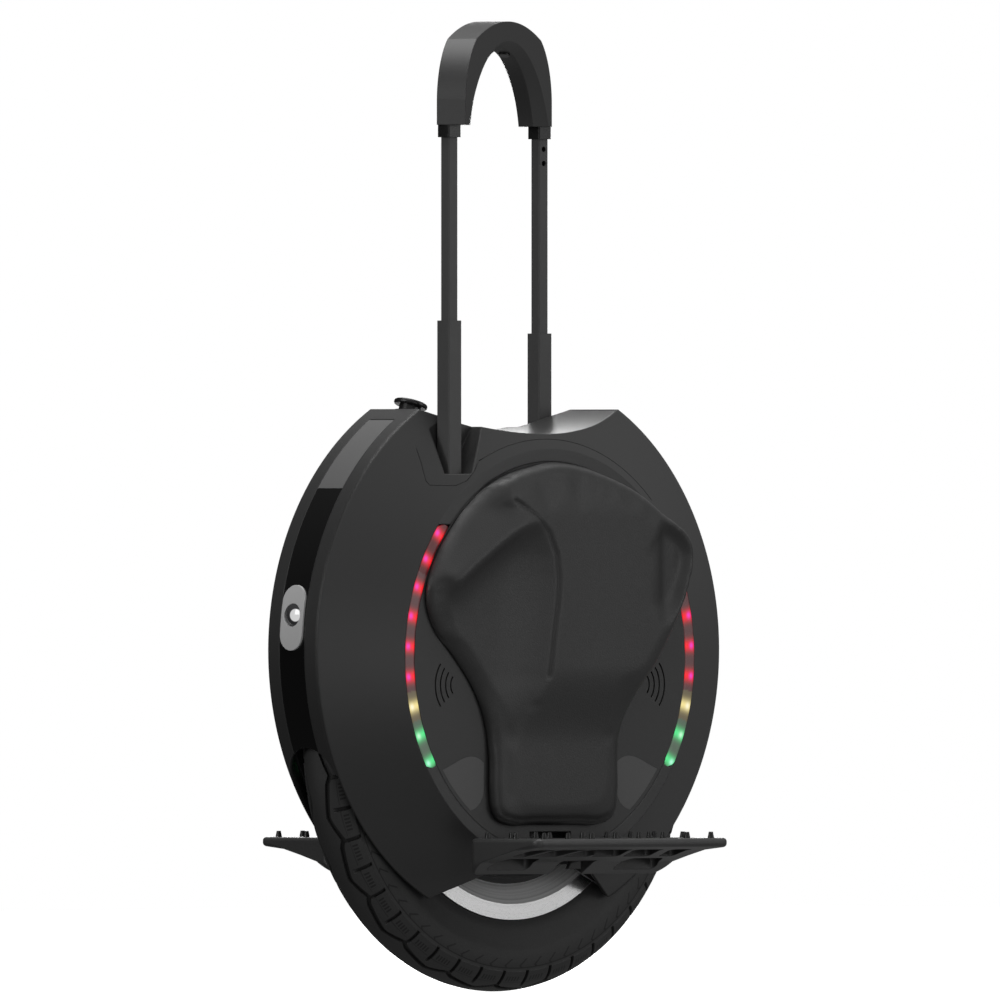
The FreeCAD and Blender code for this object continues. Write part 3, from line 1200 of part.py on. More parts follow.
def build():
    """Every node of the unicycle by name."""
    shell = left_shell()
    panel = side_panel()
    front_cover = end_cover()
    shelf = left_battery()
    hanger = left_hanger()
    bolts = left_hanger_bolts()
    lower = lower_tube()
    right_lower = turned(lower)
    right_lower.translate(Vec(0, 0, -LOWER_STAGGER))
    socket = charge_socket()
    rear_cover = socket_hole(turned(front_cover))
    rear_window = socket_hole(turned(window()))
    inserts = [insert_outline(side, INSERT_THICKNESS) for side in (-1, 1)]
    loudspeakers = [speaker(-SPEAKER_X), speaker(SPEAKER_X)]
    return {
        "main_frame": main_frame(),
        "left_shell": shell,
        "right_shell": turned(shell),
        "saddle_cover": saddle_cover(),
        "front_cover": front_cover,
        "rear_cover": rear_cover,
        "front_strip": strip(),
        "rear_strip": turned(strip()),
        "front_window": window(),
        "rear_window": rear_window,
        "headlight_bezel": lamp_bezel(),
        "headlight_lens": lamp_lens(),
        "tail_light_bezel": turned(lamp_bezel()),
        "tail_light_lens": turned(lamp_lens()),
        "charge_socket": socket,
        "left_side_panel": panel,
        "right_side_panel": turned(panel),
        "left_front_light": light_sector(True, FIT_GAP / 2),
        "left_rear_light": light_sector(False, FIT_GAP / 2),
        "right_rear_light": turned(light_sector(True, FIT_GAP / 2)),
        "right_front_light": turned(light_sector(False, FIT_GAP / 2)),
        "panel_inserts": group(inserts + [turned(i) for i in inserts]),
        "loudspeakers": group(loudspeakers + [turned(s) for s in loudspeakers]),
        "left_pad": pad(),
        "right_pad": turned(pad()),
        "left_battery": shelf,
        "right_battery": turned(shelf),
        "control_board": control_board(),
        "left_sleeve": left_sleeve(),
        "right_sleeve": turned(left_sleeve()),
        "axle": axle(),
        "axle_nuts": group([axle_nut(), turned(axle_nut())]),
        "stator_core": stator_core(),
        "stator_windings": stator_windings(),
        "left_hanger": hanger,
        "right_hanger": turned(hanger),
        "hanger_bolts": group(bolts + [turned(b) for b in bolts]),
        "pedal_pins": group([pedal_pin(), turned(pedal_pin())]),
        "power_switch": power_switch(),
        "power_button": power_button(),
        "tyre": tyre(),
        "inner_tube": inner_tube(),
        "tyre_valve": tyre_valve(),
        "rim": rim(),
        "rotor_magnets": rotor_magnets(),
        "left_motor_cover": motor_cover(),
        "right_motor_cover": turned(motor_cover()),
        "motor_cover_screws": cover_screws(),
        "wheel_bearings": group([wheel_bearing(), turned(wheel_bearing())]),
        "left_pedal": pedal(),
        "right_pedal": turned(pedal()),
        "left_pedal_studs": pedal_studs(),
        "right_pedal_studs": turned(pedal_studs()),
        "left_lower_tube": lower,
        "right_lower_tube": right_lower,
        "left_upper_tube": upper_tube(),
        "right_upper_tube": right_upper_tube(),
        "tube_collars": group([collar(), turned(collar())]),
        "grip": grip(),
        "release_button": release_button(),
    }


os.makedirs("parts", exist_ok=True)
for name, shape in build().items():
    print(name, len(shape.Solids), round(shape.Volume), shape.isValid())
    shape.exportStep("parts/" + name + ".step")
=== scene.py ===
# %% [markdown]
# An electric unicycle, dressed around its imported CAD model. The CAD holds every hard piece at its
# true size, so this lesson adds what the CAD leaves plain: finishes, soft leg pads, tyre tread and
# glowing light strips. One frame is shared by all tools: metres, the ground at z = 0, the wheel's
# axle along Y, the headlight towards -X and the rider's left side towards -Y.

# %% Load the frame
import json
import math
import bmesh
import bpy
import numpy as np
from mathutils import Matrix, Vector
from mathutils.bvhtree import BVHTree

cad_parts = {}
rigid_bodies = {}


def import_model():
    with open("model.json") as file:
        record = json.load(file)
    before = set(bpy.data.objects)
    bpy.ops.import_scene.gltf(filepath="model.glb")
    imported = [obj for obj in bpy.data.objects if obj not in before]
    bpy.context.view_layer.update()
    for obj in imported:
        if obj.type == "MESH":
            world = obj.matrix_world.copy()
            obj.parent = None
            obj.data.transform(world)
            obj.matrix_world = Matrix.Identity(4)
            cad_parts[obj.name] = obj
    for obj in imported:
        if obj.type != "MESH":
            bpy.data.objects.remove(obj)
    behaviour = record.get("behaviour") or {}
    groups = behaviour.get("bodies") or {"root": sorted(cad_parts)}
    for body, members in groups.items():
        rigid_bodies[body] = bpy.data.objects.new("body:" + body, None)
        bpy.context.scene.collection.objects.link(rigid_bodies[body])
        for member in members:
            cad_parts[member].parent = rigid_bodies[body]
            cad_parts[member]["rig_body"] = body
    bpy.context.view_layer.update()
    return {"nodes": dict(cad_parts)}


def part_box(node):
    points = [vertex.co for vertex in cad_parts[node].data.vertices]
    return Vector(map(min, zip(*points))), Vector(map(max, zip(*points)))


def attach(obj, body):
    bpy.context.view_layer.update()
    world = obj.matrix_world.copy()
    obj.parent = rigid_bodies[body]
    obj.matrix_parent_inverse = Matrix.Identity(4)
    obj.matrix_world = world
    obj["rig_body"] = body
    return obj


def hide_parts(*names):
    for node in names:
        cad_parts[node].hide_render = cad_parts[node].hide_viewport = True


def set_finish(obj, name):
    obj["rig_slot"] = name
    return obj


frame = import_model()
cad = frame["nodes"]
scene = bpy.context.scene
MM = 0.001

# %% [markdown]
# The picture this follows is a level product view without visible perspective. An orthographic camera
# could give that. A very long lens from far away does the same and still is an ordinary camera.

# %% Camera
VIEW_TURN = math.radians(43.3)
LOOK = Vector((math.sin(VIEW_TURN), math.cos(VIEW_TURN), 0))
AIM = Vector((3.65, -3.44, 448.3)) * MM
STAND_OFF = 40.0
FRAME_WIDTH = 912.2 * MM
SENSOR = 36.0
camera_data = bpy.data.cameras.new("product_camera")
camera_data.sensor_width = SENSOR
camera_data.lens = SENSOR * STAND_OFF / FRAME_WIDTH
camera = bpy.data.objects.new("product_camera", camera_data)
camera.location = AIM - LOOK * STAND_OFF
camera.rotation_euler = LOOK.to_track_quat("-Z", "Y").to_euler()
scene.collection.objects.link(camera)
scene.camera = camera
print("camera lens", round(camera_data.lens, 1), "mm")

# %% [markdown]
# A node tree is easier to read when each node is one line. This helper adds a node, sets its options
# and its input values, and takes links as (node, output name) pairs.

# %% Node helper
def add(tree, kind, options=None, **inputs):
    """Inputs go by name, with _ for a space, or by place, where _0 is the first."""
    made = tree.nodes.new(kind)
    for name, value in (options or {}).items():
        setattr(made, name, value)
    for name, value in inputs.items():
        key = int(name[1:]) if name[1:].isdigit() else name.replace("_", " ")
        socket = made.inputs[key]
        if isinstance(value, tuple) and isinstance(value[0], bpy.types.Node):
            tree.links.new(value[0].outputs[value[1]], socket)
        else:
            socket.default_value = value
    return made


print("node helper ready")

# %% [markdown]
# The studio is white and soft. The camera sees plain white behind the object, while the light on the
# object comes from a sky that is bright above, dim at the sides and a little lighter again below. One
# side of the sky is nearly dark, and the faces that look that way stay black.

# %% Studio sky
scene.view_settings.view_transform = "Standard"
SKY_TOP = 1.0
SKY_SIDE = 0.20
SKY_LOW = 0.36
SKY_STRENGTH = 0.8
DARK_SIDE = (-0.62, 0.78, 0.0)
DARK_FROM = 0.1
DARK_FULL = 0.7
DARK_SHARE = 0.12


def grey(level):
    return (level, level, level)


world = bpy.data.worlds.new("white_studio")
scene.world = world
world.use_nodes = True
sky = world.node_tree
sky.nodes.clear()
direction = add(sky, "ShaderNodeTexCoord")
height = add(sky, "ShaderNodeSeparateXYZ", Vector=(direction, "Generated"))
level = add(sky, "ShaderNodeMapRange", _0=(height, "Z"), _1=-1.0)
ramp = add(sky, "ShaderNodeValToRGB", Fac=(level, "Result"))
ramp.color_ramp.elements[0].color = grey(SKY_LOW) + (1,)
ramp.color_ramp.elements[1].color = grey(SKY_TOP) + (1,)
side_stop = ramp.color_ramp.elements.new(0.5)
side_stop.color = grey(SKY_SIDE) + (1,)
facing = add(sky, "ShaderNodeVectorMath", {"operation": "DOT_PRODUCT"}, _0=(direction, "Generated"),
             _1=DARK_SIDE)
shade = add(sky, "ShaderNodeMapRange", _0=(facing, "Value"), _1=DARK_FROM, _2=DARK_FULL, _3=SKY_STRENGTH,
            _4=SKY_STRENGTH * DARK_SHARE)
soft_sky = add(sky, "ShaderNodeBackground", Color=(ramp, "Color"), Strength=(shade, 0))
white_back = add(sky, "ShaderNodeBackground", Color=(1, 1, 1, 1), Strength=1.0)
seen = add(sky, "ShaderNodeLightPath")
both = add(sky, "ShaderNodeMixShader", _0=(seen, "Is Camera Ray"), _1=(soft_sky, 0), _2=(white_back, 0))
add(sky, "ShaderNodeOutputWorld", Surface=(both, 0))
print("sky:", len(sky.nodes), "nodes")

# %% [markdown]
# Five softboxes stand round the object, as in a studio. The largest hangs above and lights the upward
# faces. The others light the headlight end, the left side and the far edges, and a small low one
# reaches under the pedal to the rim. Area lights keep every highlight soft.

# %% Softboxes
MIDDLE = (0, 0, 0.4)
RIM_FOOT = (0, 0, 0.12)


def softbox(name, at, towards, size, power):
    """An area light that the camera doesn't see, with its size in metres and its power in watts."""
    data = bpy.data.lights.new(name, "AREA")
    data.shape = "SQUARE"
    data.size = size
    data.energy = power
    lamp = bpy.data.objects.new(name, data)
    lamp.location = at
    lamp.rotation_euler = (Vector(towards) - Vector(at)).to_track_quat("-Z", "Y").to_euler()
    lamp.visible_camera = False
    scene.collection.objects.link(lamp)


softbox("top_softbox", (-0.1, 0.3, 3.2), MIDDLE, size=2.2, power=55)
softbox("front_softbox", (-3.6, 0.4, 1.3), MIDDLE, size=1.6, power=36)
softbox("side_softbox", (1.9, -3.3, 1.0), MIDDLE, size=1.8, power=17.5)
softbox("back_softbox", (2.3, 2.5, 0.9), MIDDLE, size=1.2, power=30)
softbox("low_softbox", (-0.7, -2.6, 0.25), RIM_FOOT, size=0.8, power=4)
print("softboxes:", len(bpy.data.lights))

# %% [markdown]
# The floor is a plain pale sheet that glows as white as the background, so no horizon shows. It stays
# out of reflections and bounced light, because the sky and the softboxes alone set the tones.

# %% Floor
FLOOR_HALF = 6.0
floor_mesh = bpy.data.meshes.new("studio_floor")
bm = bmesh.new()
bmesh.ops.create_grid(bm, x_segments=8, y_segments=8, size=FLOOR_HALF)
bm.to_mesh(floor_mesh)
bm.free()
floor = bpy.data.objects.new("studio_floor", floor_mesh)
floor.visible_diffuse = False
floor.visible_glossy = False
scene.collection.objects.link(floor)
paper = bpy.data.materials.new("floor_paper")
paper.use_nodes = True
paper_shader = paper.node_tree.nodes["Principled BSDF"]
paper_shader.inputs["Base Color"].default_value = (0.93, 0.93, 0.93, 1)
paper_shader.inputs["Roughness"].default_value = 0.9
paper_shader.inputs["Emission Color"].default_value = (1, 1, 1, 1)
paper_shader.inputs["Emission Strength"].default_value = 1.0
floor_mesh.materials.append(paper)
print("floor:", round(floor.dimensions.x, 1), "m")

# %% [markdown]
# Most pieces are moulded plastic, painted alloy or rubber. They share one recipe: a base colour that
# drifts a little over the surface, a roughness that drifts too, and a fine bump for the moulded or
# cast grain. A Bevel node rounds the hard CAD edges for the light, as a mould or a file does.

# %% Shared finish
CLOUD_SCALE = 11.0
GLOSS_DRIFT = 0.12
GRAIN_HEIGHT = 0.4 * MM


def finish(name, colour, roughness, grain=1.0, depth=0.1, drift=0.12, metallic=0.0, coat=0.0, edge=0.5,
           stretch=(1, 1, 1), specular=0.5):
    """grain and edge are in mm; depth is the bump's strength; drift is the share of change in tone."""
    material = bpy.data.materials.new(name)
    material.use_nodes = True
    tree = material.node_tree
    shader = tree.nodes["Principled BSDF"]
    place = add(tree, "ShaderNodeTexCoord")
    turned = add(tree, "ShaderNodeMapping", Vector=(place, "Object"), Scale=stretch)
    cloud = add(tree, "ShaderNodeTexNoise", Vector=(place, "Object"), Scale=CLOUD_SCALE, Detail=4.0)
    fine = add(tree, "ShaderNodeTexNoise", Vector=(turned, 0), Scale=1 / (grain * MM), Detail=2.0)
    dark = tuple(c * (1 - drift) for c in colour) + (1,)
    light = tuple(c * (1 + drift) for c in colour) + (1,)
    tone = add(tree, "ShaderNodeMix", {"data_type": "RGBA"}, Factor=(cloud, 0), _6=dark, _7=light)
    tree.links.new(tone.outputs[2], shader.inputs["Base Color"])
    gloss = add(tree, "ShaderNodeMapRange", _0=(fine, 0), _1=0.3, _2=0.7,
                _3=roughness * (1 - GLOSS_DRIFT), _4=roughness * (1 + GLOSS_DRIFT))
    tree.links.new(gloss.outputs[0], shader.inputs["Roughness"])
    bump = add(tree, "ShaderNodeBump", Strength=depth, Distance=GRAIN_HEIGHT, Height=(fine, 0))
    if edge > 0:
        rounded = add(tree, "ShaderNodeBevel", {"samples": 4}, Radius=edge * MM)
        tree.links.new(rounded.outputs[0], bump.inputs["Normal"])
    tree.links.new(bump.outputs[0], shader.inputs["Normal"])
    shader.inputs["Metallic"].default_value = metallic
    shader.inputs["Coat Weight"].default_value = coat
    shader.inputs["Specular IOR Level"].default_value = specular
    return material


print("shared finish ready")

# %% [markdown]
# Each material slot of the record gets its own finish. The charcoal shell is satin, the strips at the
# ends are gloss black, and the hidden pieces get what such pieces have, because the part may be opened.

# %% Finishes of the CAD pieces
FINISHES = {
    "shell_plastic": finish("shell_satin_charcoal", grey(0.026), 0.4, 0.6, 0.06, 0.05, edge=2.0),
    "panel_plastic": finish("panel_satin_charcoal", grey(0.030), 0.5, 0.5, 0.06, 0.05),
    "gloss_black": finish("strip_gloss_black", grey(0.004), 0.07, 6.0, 0.01, 0.2, coat=0.6),
    "window_grey": finish("window_smoked_grey", grey(0.12), 0.32, 2.0, 0.02, 0.06),
    "insert_grey": finish("insert_soft_grey", grey(0.085), 0.55, 0.7, 0.08, 0.05),
    "bezel_grey": finish("bezel_satin_grey", grey(0.52), 0.34, 0.8, 0.03, 0.06, metallic=0.1, edge=1.0),
    "lamp_clear": finish("headlight_lens_smoke", (0.05, 0.05, 0.052), 0.05, 3.0, 0.01, 0.2, coat=1.0, edge=0),
    "lamp_red": finish("tail_lens_red", (0.14, 0.006, 0.008), 0.08, 3.0, 0.01, 0.2, coat=1.0, edge=0),
    "light_guide": finish("light_guide_milky", (0.2, 0.1, 0.1), 0.35, 1.5, 0.02),
    "pad_leather": finish("pad_plain_leather", grey(0.026), 0.5, 1.3, 0.35),
    "frame_alloy": finish("frame_cast_alloy", (0.12, 0.12, 0.125), 0.5, 1.5, 0.15, metallic=0.8),
    "steel": finish("zinc_steel", (0.42, 0.42, 0.43), 0.32, 0.8, 0.08, metallic=1.0),
    "black_steel": finish("black_steel", (0.035, 0.035, 0.036), 0.42, 0.8, 0.1, metallic=0.4),
    "copper_winding": finish("copper_winding", (0.48, 0.17, 0.07), 0.35, 1.2, 0.4, metallic=0.9,
                             stretch=(1, 6, 1)),
    "magnet": finish("magnet_nickel", (0.5, 0.49, 0.46), 0.25, 1.0, 0.04, metallic=1.0),
    "lamination": finish("stator_lamination", (0.2, 0.2, 0.21), 0.45, 0.6, 0.4, metallic=0.9,
                         stretch=(0.1, 4, 0.1)),
    "battery_wrap": finish("battery_blue_wrap", (0.02, 0.06, 0.16), 0.35, 2.0, 0.06),
    "board_green": finish("circuit_board_green", (0.01, 0.07, 0.03), 0.4, 1.0, 0.1),
    "speaker_black": finish("speaker_cone_black", grey(0.012), 0.7, 0.8, 0.3),
    "sleeve_plastic": finish("sleeve_black_plastic", grey(0.014), 0.5, 0.7, 0.1),
    "tyre_rubber": finish("tyre_plain_rubber", grey(0.025), 0.62, 0.8, 0.2),
    "tube_rubber": finish("inner_tube_rubber", grey(0.012), 0.6, 1.0, 0.15),
    "rim_alloy": finish("rim_machined_alloy", grey(0.97), 0.3, 0.5, 0.05, 0.03, metallic=1.0),
    "cover_black": finish("hub_cover_black", (0.012, 0.012, 0.013), 0.25, 0.8, 0.05, metallic=0.2, coat=0.3),
    "pedal_alloy": finish("pedal_black_paint", grey(0.039), 0.42, 0.7, 0.15, edge=1.6),
    "stud_steel": finish("stud_black_steel", grey(0.016), 0.35, 0.6, 0.1, metallic=0.5),
    "tube_alloy": finish("tube_dark_anodised", grey(0.063), 0.5, 0.5, 0.06, 0.05, metallic=0.1,
                         stretch=(1, 1, 0.03)),
    "grip_plastic": finish("grip_soft_touch", grey(0.030), 0.46, 0.5, 0.08, 0.05, edge=1.2),
    "button_black": finish("button_black", grey(0.012), 0.3, 0.8, 0.05),
}
for piece in cad.values():
    for slot in piece.material_slots:
        slot.material = FINISHES[slot.material.name]
print("finishes:", len(FINISHES), "for", len(cad), "CAD pieces")

# %% [markdown]
# Some finishes carry a pattern. Each pattern is a mask from Math nodes, 1 on the mark and 0 beside it,
# and most masks multiply the base colour. Maths keeps a mark sharp from any distance.

# %% Mask helpers
def calc(tree, operation, first, second=0.0, third=0.0):
    made = add(tree, "ShaderNodeMath", {"operation": operation}, _0=first, _1=second, _2=third)
    return made, 0


def band(tree, value, low, high):
    """1 where the value lies between low and high, else 0."""
    over = calc(tree, "GREATER_THAN", value, low)
    under = calc(tree, "LESS_THAN", value, high)
    return calc(tree, "MULTIPLY", over, under)


def tint(material, factor):
    """Multiply the base colour by a factor that a node gives."""
    tree = material.node_tree
    base = tree.nodes["Principled BSDF"].inputs["Base Color"]
    before = base.links[0].from_node
    mixed = add(tree, "ShaderNodeMix", {"data_type": "RGBA", "blend_type": "MULTIPLY"}, Factor=1.0,
                _6=(before, 2), _7=factor)
    tree.links.new(mixed.outputs[2], base)


print("mask helpers ready")

# %% [markdown]
# The tyre's shoulder blocks have fine cuts and a moulded step, and its sidewall has a line with bent
# ticks below it. They are moulded into the same black rubber and are painted here as dark marks:
# painted shade in place of their relief. They follow the tread's own map, which counts pitches along X
# and the distance from the crown along Y, so they keep step with the grooves, which are modelled
# further down.

# %% Tyre rubber
MAP_UNIT = 100.0
CUT_ARC = (23.9, 29.2)
CUT_BLOCK = (0.25, 0.84)
CUT_COUNT = 8.6
CUT_SHIFT = -0.2
CUT_WIDTH = 0.5
STEP_ARC = (22.0, 22.9)
STEP_BLOCK = (0.1, 0.93)
STEP_SHADE_SHARE = 0.6
WALL_LINE_ARC = (37.3, 38.3)
TICK_ARC = (38.2, 46.4)
TICK_ELBOW = 40.0
TICK_LONG_LEAN = 0.046
TICK_SHORT_LEAN = 0.04
TICK_COUNT = 1.5
TICK_WIDTH = 0.13
MARK_PAINTED_SHADE = 0.93


def tread_pattern(material):
    tree = material.node_tree
    tread = add(tree, "ShaderNodeUVMap", {"uv_map": "tread"})
    place = add(tree, "ShaderNodeSeparateXYZ", Vector=(tread, 0))
    arc = calc(tree, "MULTIPLY", calc(tree, "ABSOLUTE", (place, "Y")), MAP_UNIT)
    far_side = calc(tree, "LESS_THAN", (place, "Y"), 0.0)
    around = calc(tree, "MULTIPLY_ADD", far_side, 0.5, (place, "X"))
    block = calc(tree, "FRACT", around)
    cuts = calc(tree, "FRACT", calc(tree, "MULTIPLY_ADD", block, CUT_COUNT, CUT_SHIFT))
    cuts = calc(tree, "LESS_THAN", cuts, CUT_WIDTH)
    cuts = calc(tree, "MULTIPLY", cuts, band(tree, block, *CUT_BLOCK))
    cuts = calc(tree, "MULTIPLY", cuts, band(tree, arc, *CUT_ARC))
    step = calc(tree, "MULTIPLY", band(tree, arc, *STEP_ARC), band(tree, block, *STEP_BLOCK))
    long_leg = calc(tree, "MULTIPLY", calc(tree, "SUBTRACT", arc, TICK_ELBOW), TICK_LONG_LEAN)
    short_leg = calc(tree, "MULTIPLY", calc(tree, "SUBTRACT", TICK_ELBOW, arc), TICK_SHORT_LEAN)
    bent = calc(tree, "SUBTRACT", around, calc(tree, "MAXIMUM", long_leg, short_leg))
    ticks = calc(tree, "FRACT", calc(tree, "MULTIPLY", bent, TICK_COUNT))
    ticks = calc(tree, "LESS_THAN", ticks, TICK_WIDTH)
    ticks = calc(tree, "MULTIPLY", ticks, band(tree, arc, *TICK_ARC))
    # Painted shade: the cuts, the step, the line and the ticks become darker marks.
    marks = calc(tree, "MAXIMUM", calc(tree, "MULTIPLY", step, STEP_SHADE_SHARE), calc(tree, "MAXIMUM", cuts, ticks))
    marks = calc(tree, "MAXIMUM", band(tree, arc, *WALL_LINE_ARC), marks)
    tint(material, calc(tree, "MULTIPLY_ADD", marks, -MARK_PAINTED_SHADE, 1.0))
    # Painted shade in the groove bottoms, read from the tyre's shade attribute.
    tint(material, (add(tree, "ShaderNodeVertexColor", {"layer_name": "shade"}), "Color"))


tread_rubber = finish("tyre_tread_rubber", grey(0.025), 0.62, 0.8, 0.2, edge=0.3)
tread_pattern(tread_rubber)
print("tyre rubber:", len(tread_rubber.node_tree.nodes), "nodes")

# %% [markdown]
# The rim is turned on a lathe, so its streaks follow the distance from the axle, and its ring is
# polished while the hollow inside it stays dull. The headlight shows a bright reflector deep behind a
# dark ring. A real reflector would need a see-through lens, so a glowing disc on the lens stands for it:
# its glow is a painted reflection of the studio light that the reflector would mirror.

# %% Rim and headlight
RIM_FACE_IN = 148.4 * MM
STREAK_SCALE = 420.0
STREAK_BAND = (0.35, 0.62)
FACE_STREAK = 0.05
HOLLOW_STREAK = 0.25
HOLLOW_DULLNESS = 0.75
REFLECTOR_OFF = 0.42
REFLECTOR_SIZE = 0.6
REFLECTOR_CLEAR = 0.86
REFLECTION_PAINTED_GLOW = 0.62


def distance_node(tree, centre, keep):
    """Distance from an axis through the centre; keep is 0 along the axis and 1 across it."""
    place = add(tree, "ShaderNodeTexCoord")
    shift = tuple(-c * k for c, k in zip(centre, keep))
    moved = add(tree, "ShaderNodeMapping", Vector=(place, "Object"), Location=shift, Scale=keep)
    return add(tree, "ShaderNodeVectorMath", {"operation": "LENGTH"}, _0=(moved, 0)), "Value"


def lathe_pattern(material, axle, face_radius):
    tree = material.node_tree
    radius = distance_node(tree, axle, (1, 0, 1))
    streaks = add(tree, "ShaderNodeTexNoise", {"noise_dimensions": "1D"}, W=radius, Scale=STREAK_SCALE,
                  Detail=3.0)
    inside = calc(tree, "LESS_THAN", radius, face_radius)
    depth = calc(tree, "MULTIPLY_ADD", inside, HOLLOW_STREAK, FACE_STREAK)
    dark = add(tree, "ShaderNodeMapRange", _0=(streaks, 0), _1=STREAK_BAND[0], _2=STREAK_BAND[1], _3=1.0,
               _4=0.0)
    tint(material, calc(tree, "SUBTRACT", 1.0, calc(tree, "MULTIPLY", (dark, 0), depth)))
    polish = calc(tree, "MULTIPLY_ADD", inside, -HOLLOW_DULLNESS, 1.0)
    tree.links.new(polish[0].outputs[0], tree.nodes["Principled BSDF"].inputs["Metallic"])


def painted_reflection_pattern(material, centre, radius):
    tree = material.node_tree
    shader = tree.nodes["Principled BSDF"]
    off = distance_node(tree, centre, (0, 1, 1))
    disc = add(tree, "ShaderNodeMapRange", _0=off, _1=radius * REFLECTOR_CLEAR, _2=radius, _3=1.0, _4=0.0)
    # Painted reflection: the disc's emission stands in for the light that the reflector would mirror.
    glow = calc(tree, "MULTIPLY", (disc, 0), REFLECTION_PAINTED_GLOW)
    shader.inputs["Emission Color"].default_value = (1, 1, 1, 1)
    tree.links.new(glow[0].outputs[0], shader.inputs["Emission Strength"])


def middle_of(node):
    low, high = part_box(node)
    return (low + high) / 2


lens_low, lens_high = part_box("headlight_lens")
lens_radius = (lens_high.z - lens_low.z) / 2
reflector = middle_of("headlight_lens") - Vector((0, lens_radius * REFLECTOR_OFF, 0))
lathe_pattern(FINISHES["rim_alloy"], middle_of("axle"), RIM_FACE_IN)
painted_reflection_pattern(FINISHES["lamp_clear"], reflector, lens_radius * REFLECTOR_SIZE)
print("headlight: lens", round(lens_radius * 2 / MM, 1), "mm across")

# %% [markdown]
# A new piece needs the same few steps each time: a mesh from a bmesh, an object at the origin, a
# material, a body to ride on and the CAD node that it stands for.

# %% Piece helpers
def place_piece(mesh, name, body, slot_name, stands_for=None):
    made = bpy.data.objects.new(name, mesh)
    scene.collection.objects.link(made)
    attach(made, body)
    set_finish(made, slot_name)
    if stands_for:
        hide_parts(stands_for)
    return made


def piece_from(bm, name, body, slot_name, material, stands_for=None):
    mesh = bpy.data.meshes.new(name)
    bm.to_mesh(mesh)
    bm.free()
    for polygon in mesh.polygons:
        polygon.use_smooth = True
    mesh.materials.append(material)
    return place_piece(mesh, name, body, slot_name, stands_for)


def half_turned(source, name, stands_for=None):
    """The same moulding on the other side: half a turn about the upright axis."""
    mesh = source.data.copy()
    mesh.name = name
    mesh.transform(Matrix.Rotation(math.pi, 4, "Z"))
    return place_piece(mesh, name, source["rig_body"], source["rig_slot"], stands_for)


print("piece helpers ready")

# %% [markdown]
# The tyre has a middle rib between two zigzag grooves, shoulder blocks parted by cross grooves, of
# which every second one stops short of the rib, and smooth sidewalls. Half of its section is listed
# from the crown over the sidewall and the foot to the inside. COLUMNS divide one pitch of the tread
# and TREAD_ROWS divide the section, both with lines on the edges of the grooves.

# %% Tyre layout
AXLE = Vector((0, 0, 228.5 * MM))
TYRE_RADIUS = 228.5
SECTION = 29.1
CORE = TYRE_RADIUS - SECTION
PITCHES = 46
COLUMNS = [0, 0.02, 0.115, 0.135, 0.25, 0.37, 0.5, 0.52, 0.615, 0.635, 0.75, 0.87]
TREAD_ROWS = [3.5, 7, 9.7, 10.3, 13.7, 14.3, 17, 20, 23.5, 27, 30.5, 34.2, 35, 38, 41, 44, 48, 52, 56]
FOOT = [(25.2, 184.85), (23.9, 174), (22.35, 164.6), (20.75, 163), (18.75, 157.75), (14.75, 152.25),
        (13, 152.25), (13, 165), (13, 180.3)]
FOOT_ARC = 61
FOOT_STEP = 6
INNER_ANGLES = [120, 90, 60, 30, 0]
INNER_SECTION = 23.1
INNER_ARC = 120
INNER_STEP = 8


def section_rows():
    """Half of the section from the crown to the inside of the crown, as (arc, n, radius)."""
    half = [(s, SECTION * math.sin(s / SECTION), CORE + SECTION * math.cos(s / SECTION)) for s in TREAD_ROWS]
    half += [(FOOT_ARC + FOOT_STEP * i, n, r) for i, (n, r) in enumerate(FOOT)]
    for i, angle in enumerate(INNER_ANGLES):
        a = math.radians(angle)
        arc = INNER_ARC + INNER_STEP * i
        half.append((arc, INNER_SECTION * math.sin(a), CORE + INNER_SECTION * math.cos(a)))
    return half


half_rows = section_rows()
loop = [(0.0, 0.0, TYRE_RADIUS)] + half_rows + [(-s, -n, r) for s, n, r in reversed(half_rows[:-1])]
around_count = PITCHES * len(COLUMNS)
print("tyre grid:", around_count, "by", len(loop))

# %% [markdown]
# A flat grid with these lines is wrapped round the wheel. Rows beside the rib are bent to the zigzag,
# and points in a groove go deeper. That gives crisp grooves with few faces, where a displaced ring
# would need many. A shade attribute paints shade into the bottoms of the grooves.

# %% Tyre tread
RIB_GROOVE = (10.3, 13.7)
RIB_DEPTH = 3.0
ZIGZAG = ([0, 0.25, 1.3, 2.0], [5.8, 2.4, -2.6, 5.8])
ZIGZAG_REACH = ([3.5, 9.7, 14.3, 23.5], [0, 1, 1, 0])
CROSS_SPAN = (0.015, 0.12)
CROSS_DEPTH = 2.6
CROSS_END = 34.2
SHORT_CROSS_END = 20
WALL_INSET = 0.7
WALL_REACH = ([CROSS_END, 35, 48, 56], [0, 1, 1, 0])
TREAD_GROOVE_SHADE = 0.85
SHARP_TURN = math.radians(38)


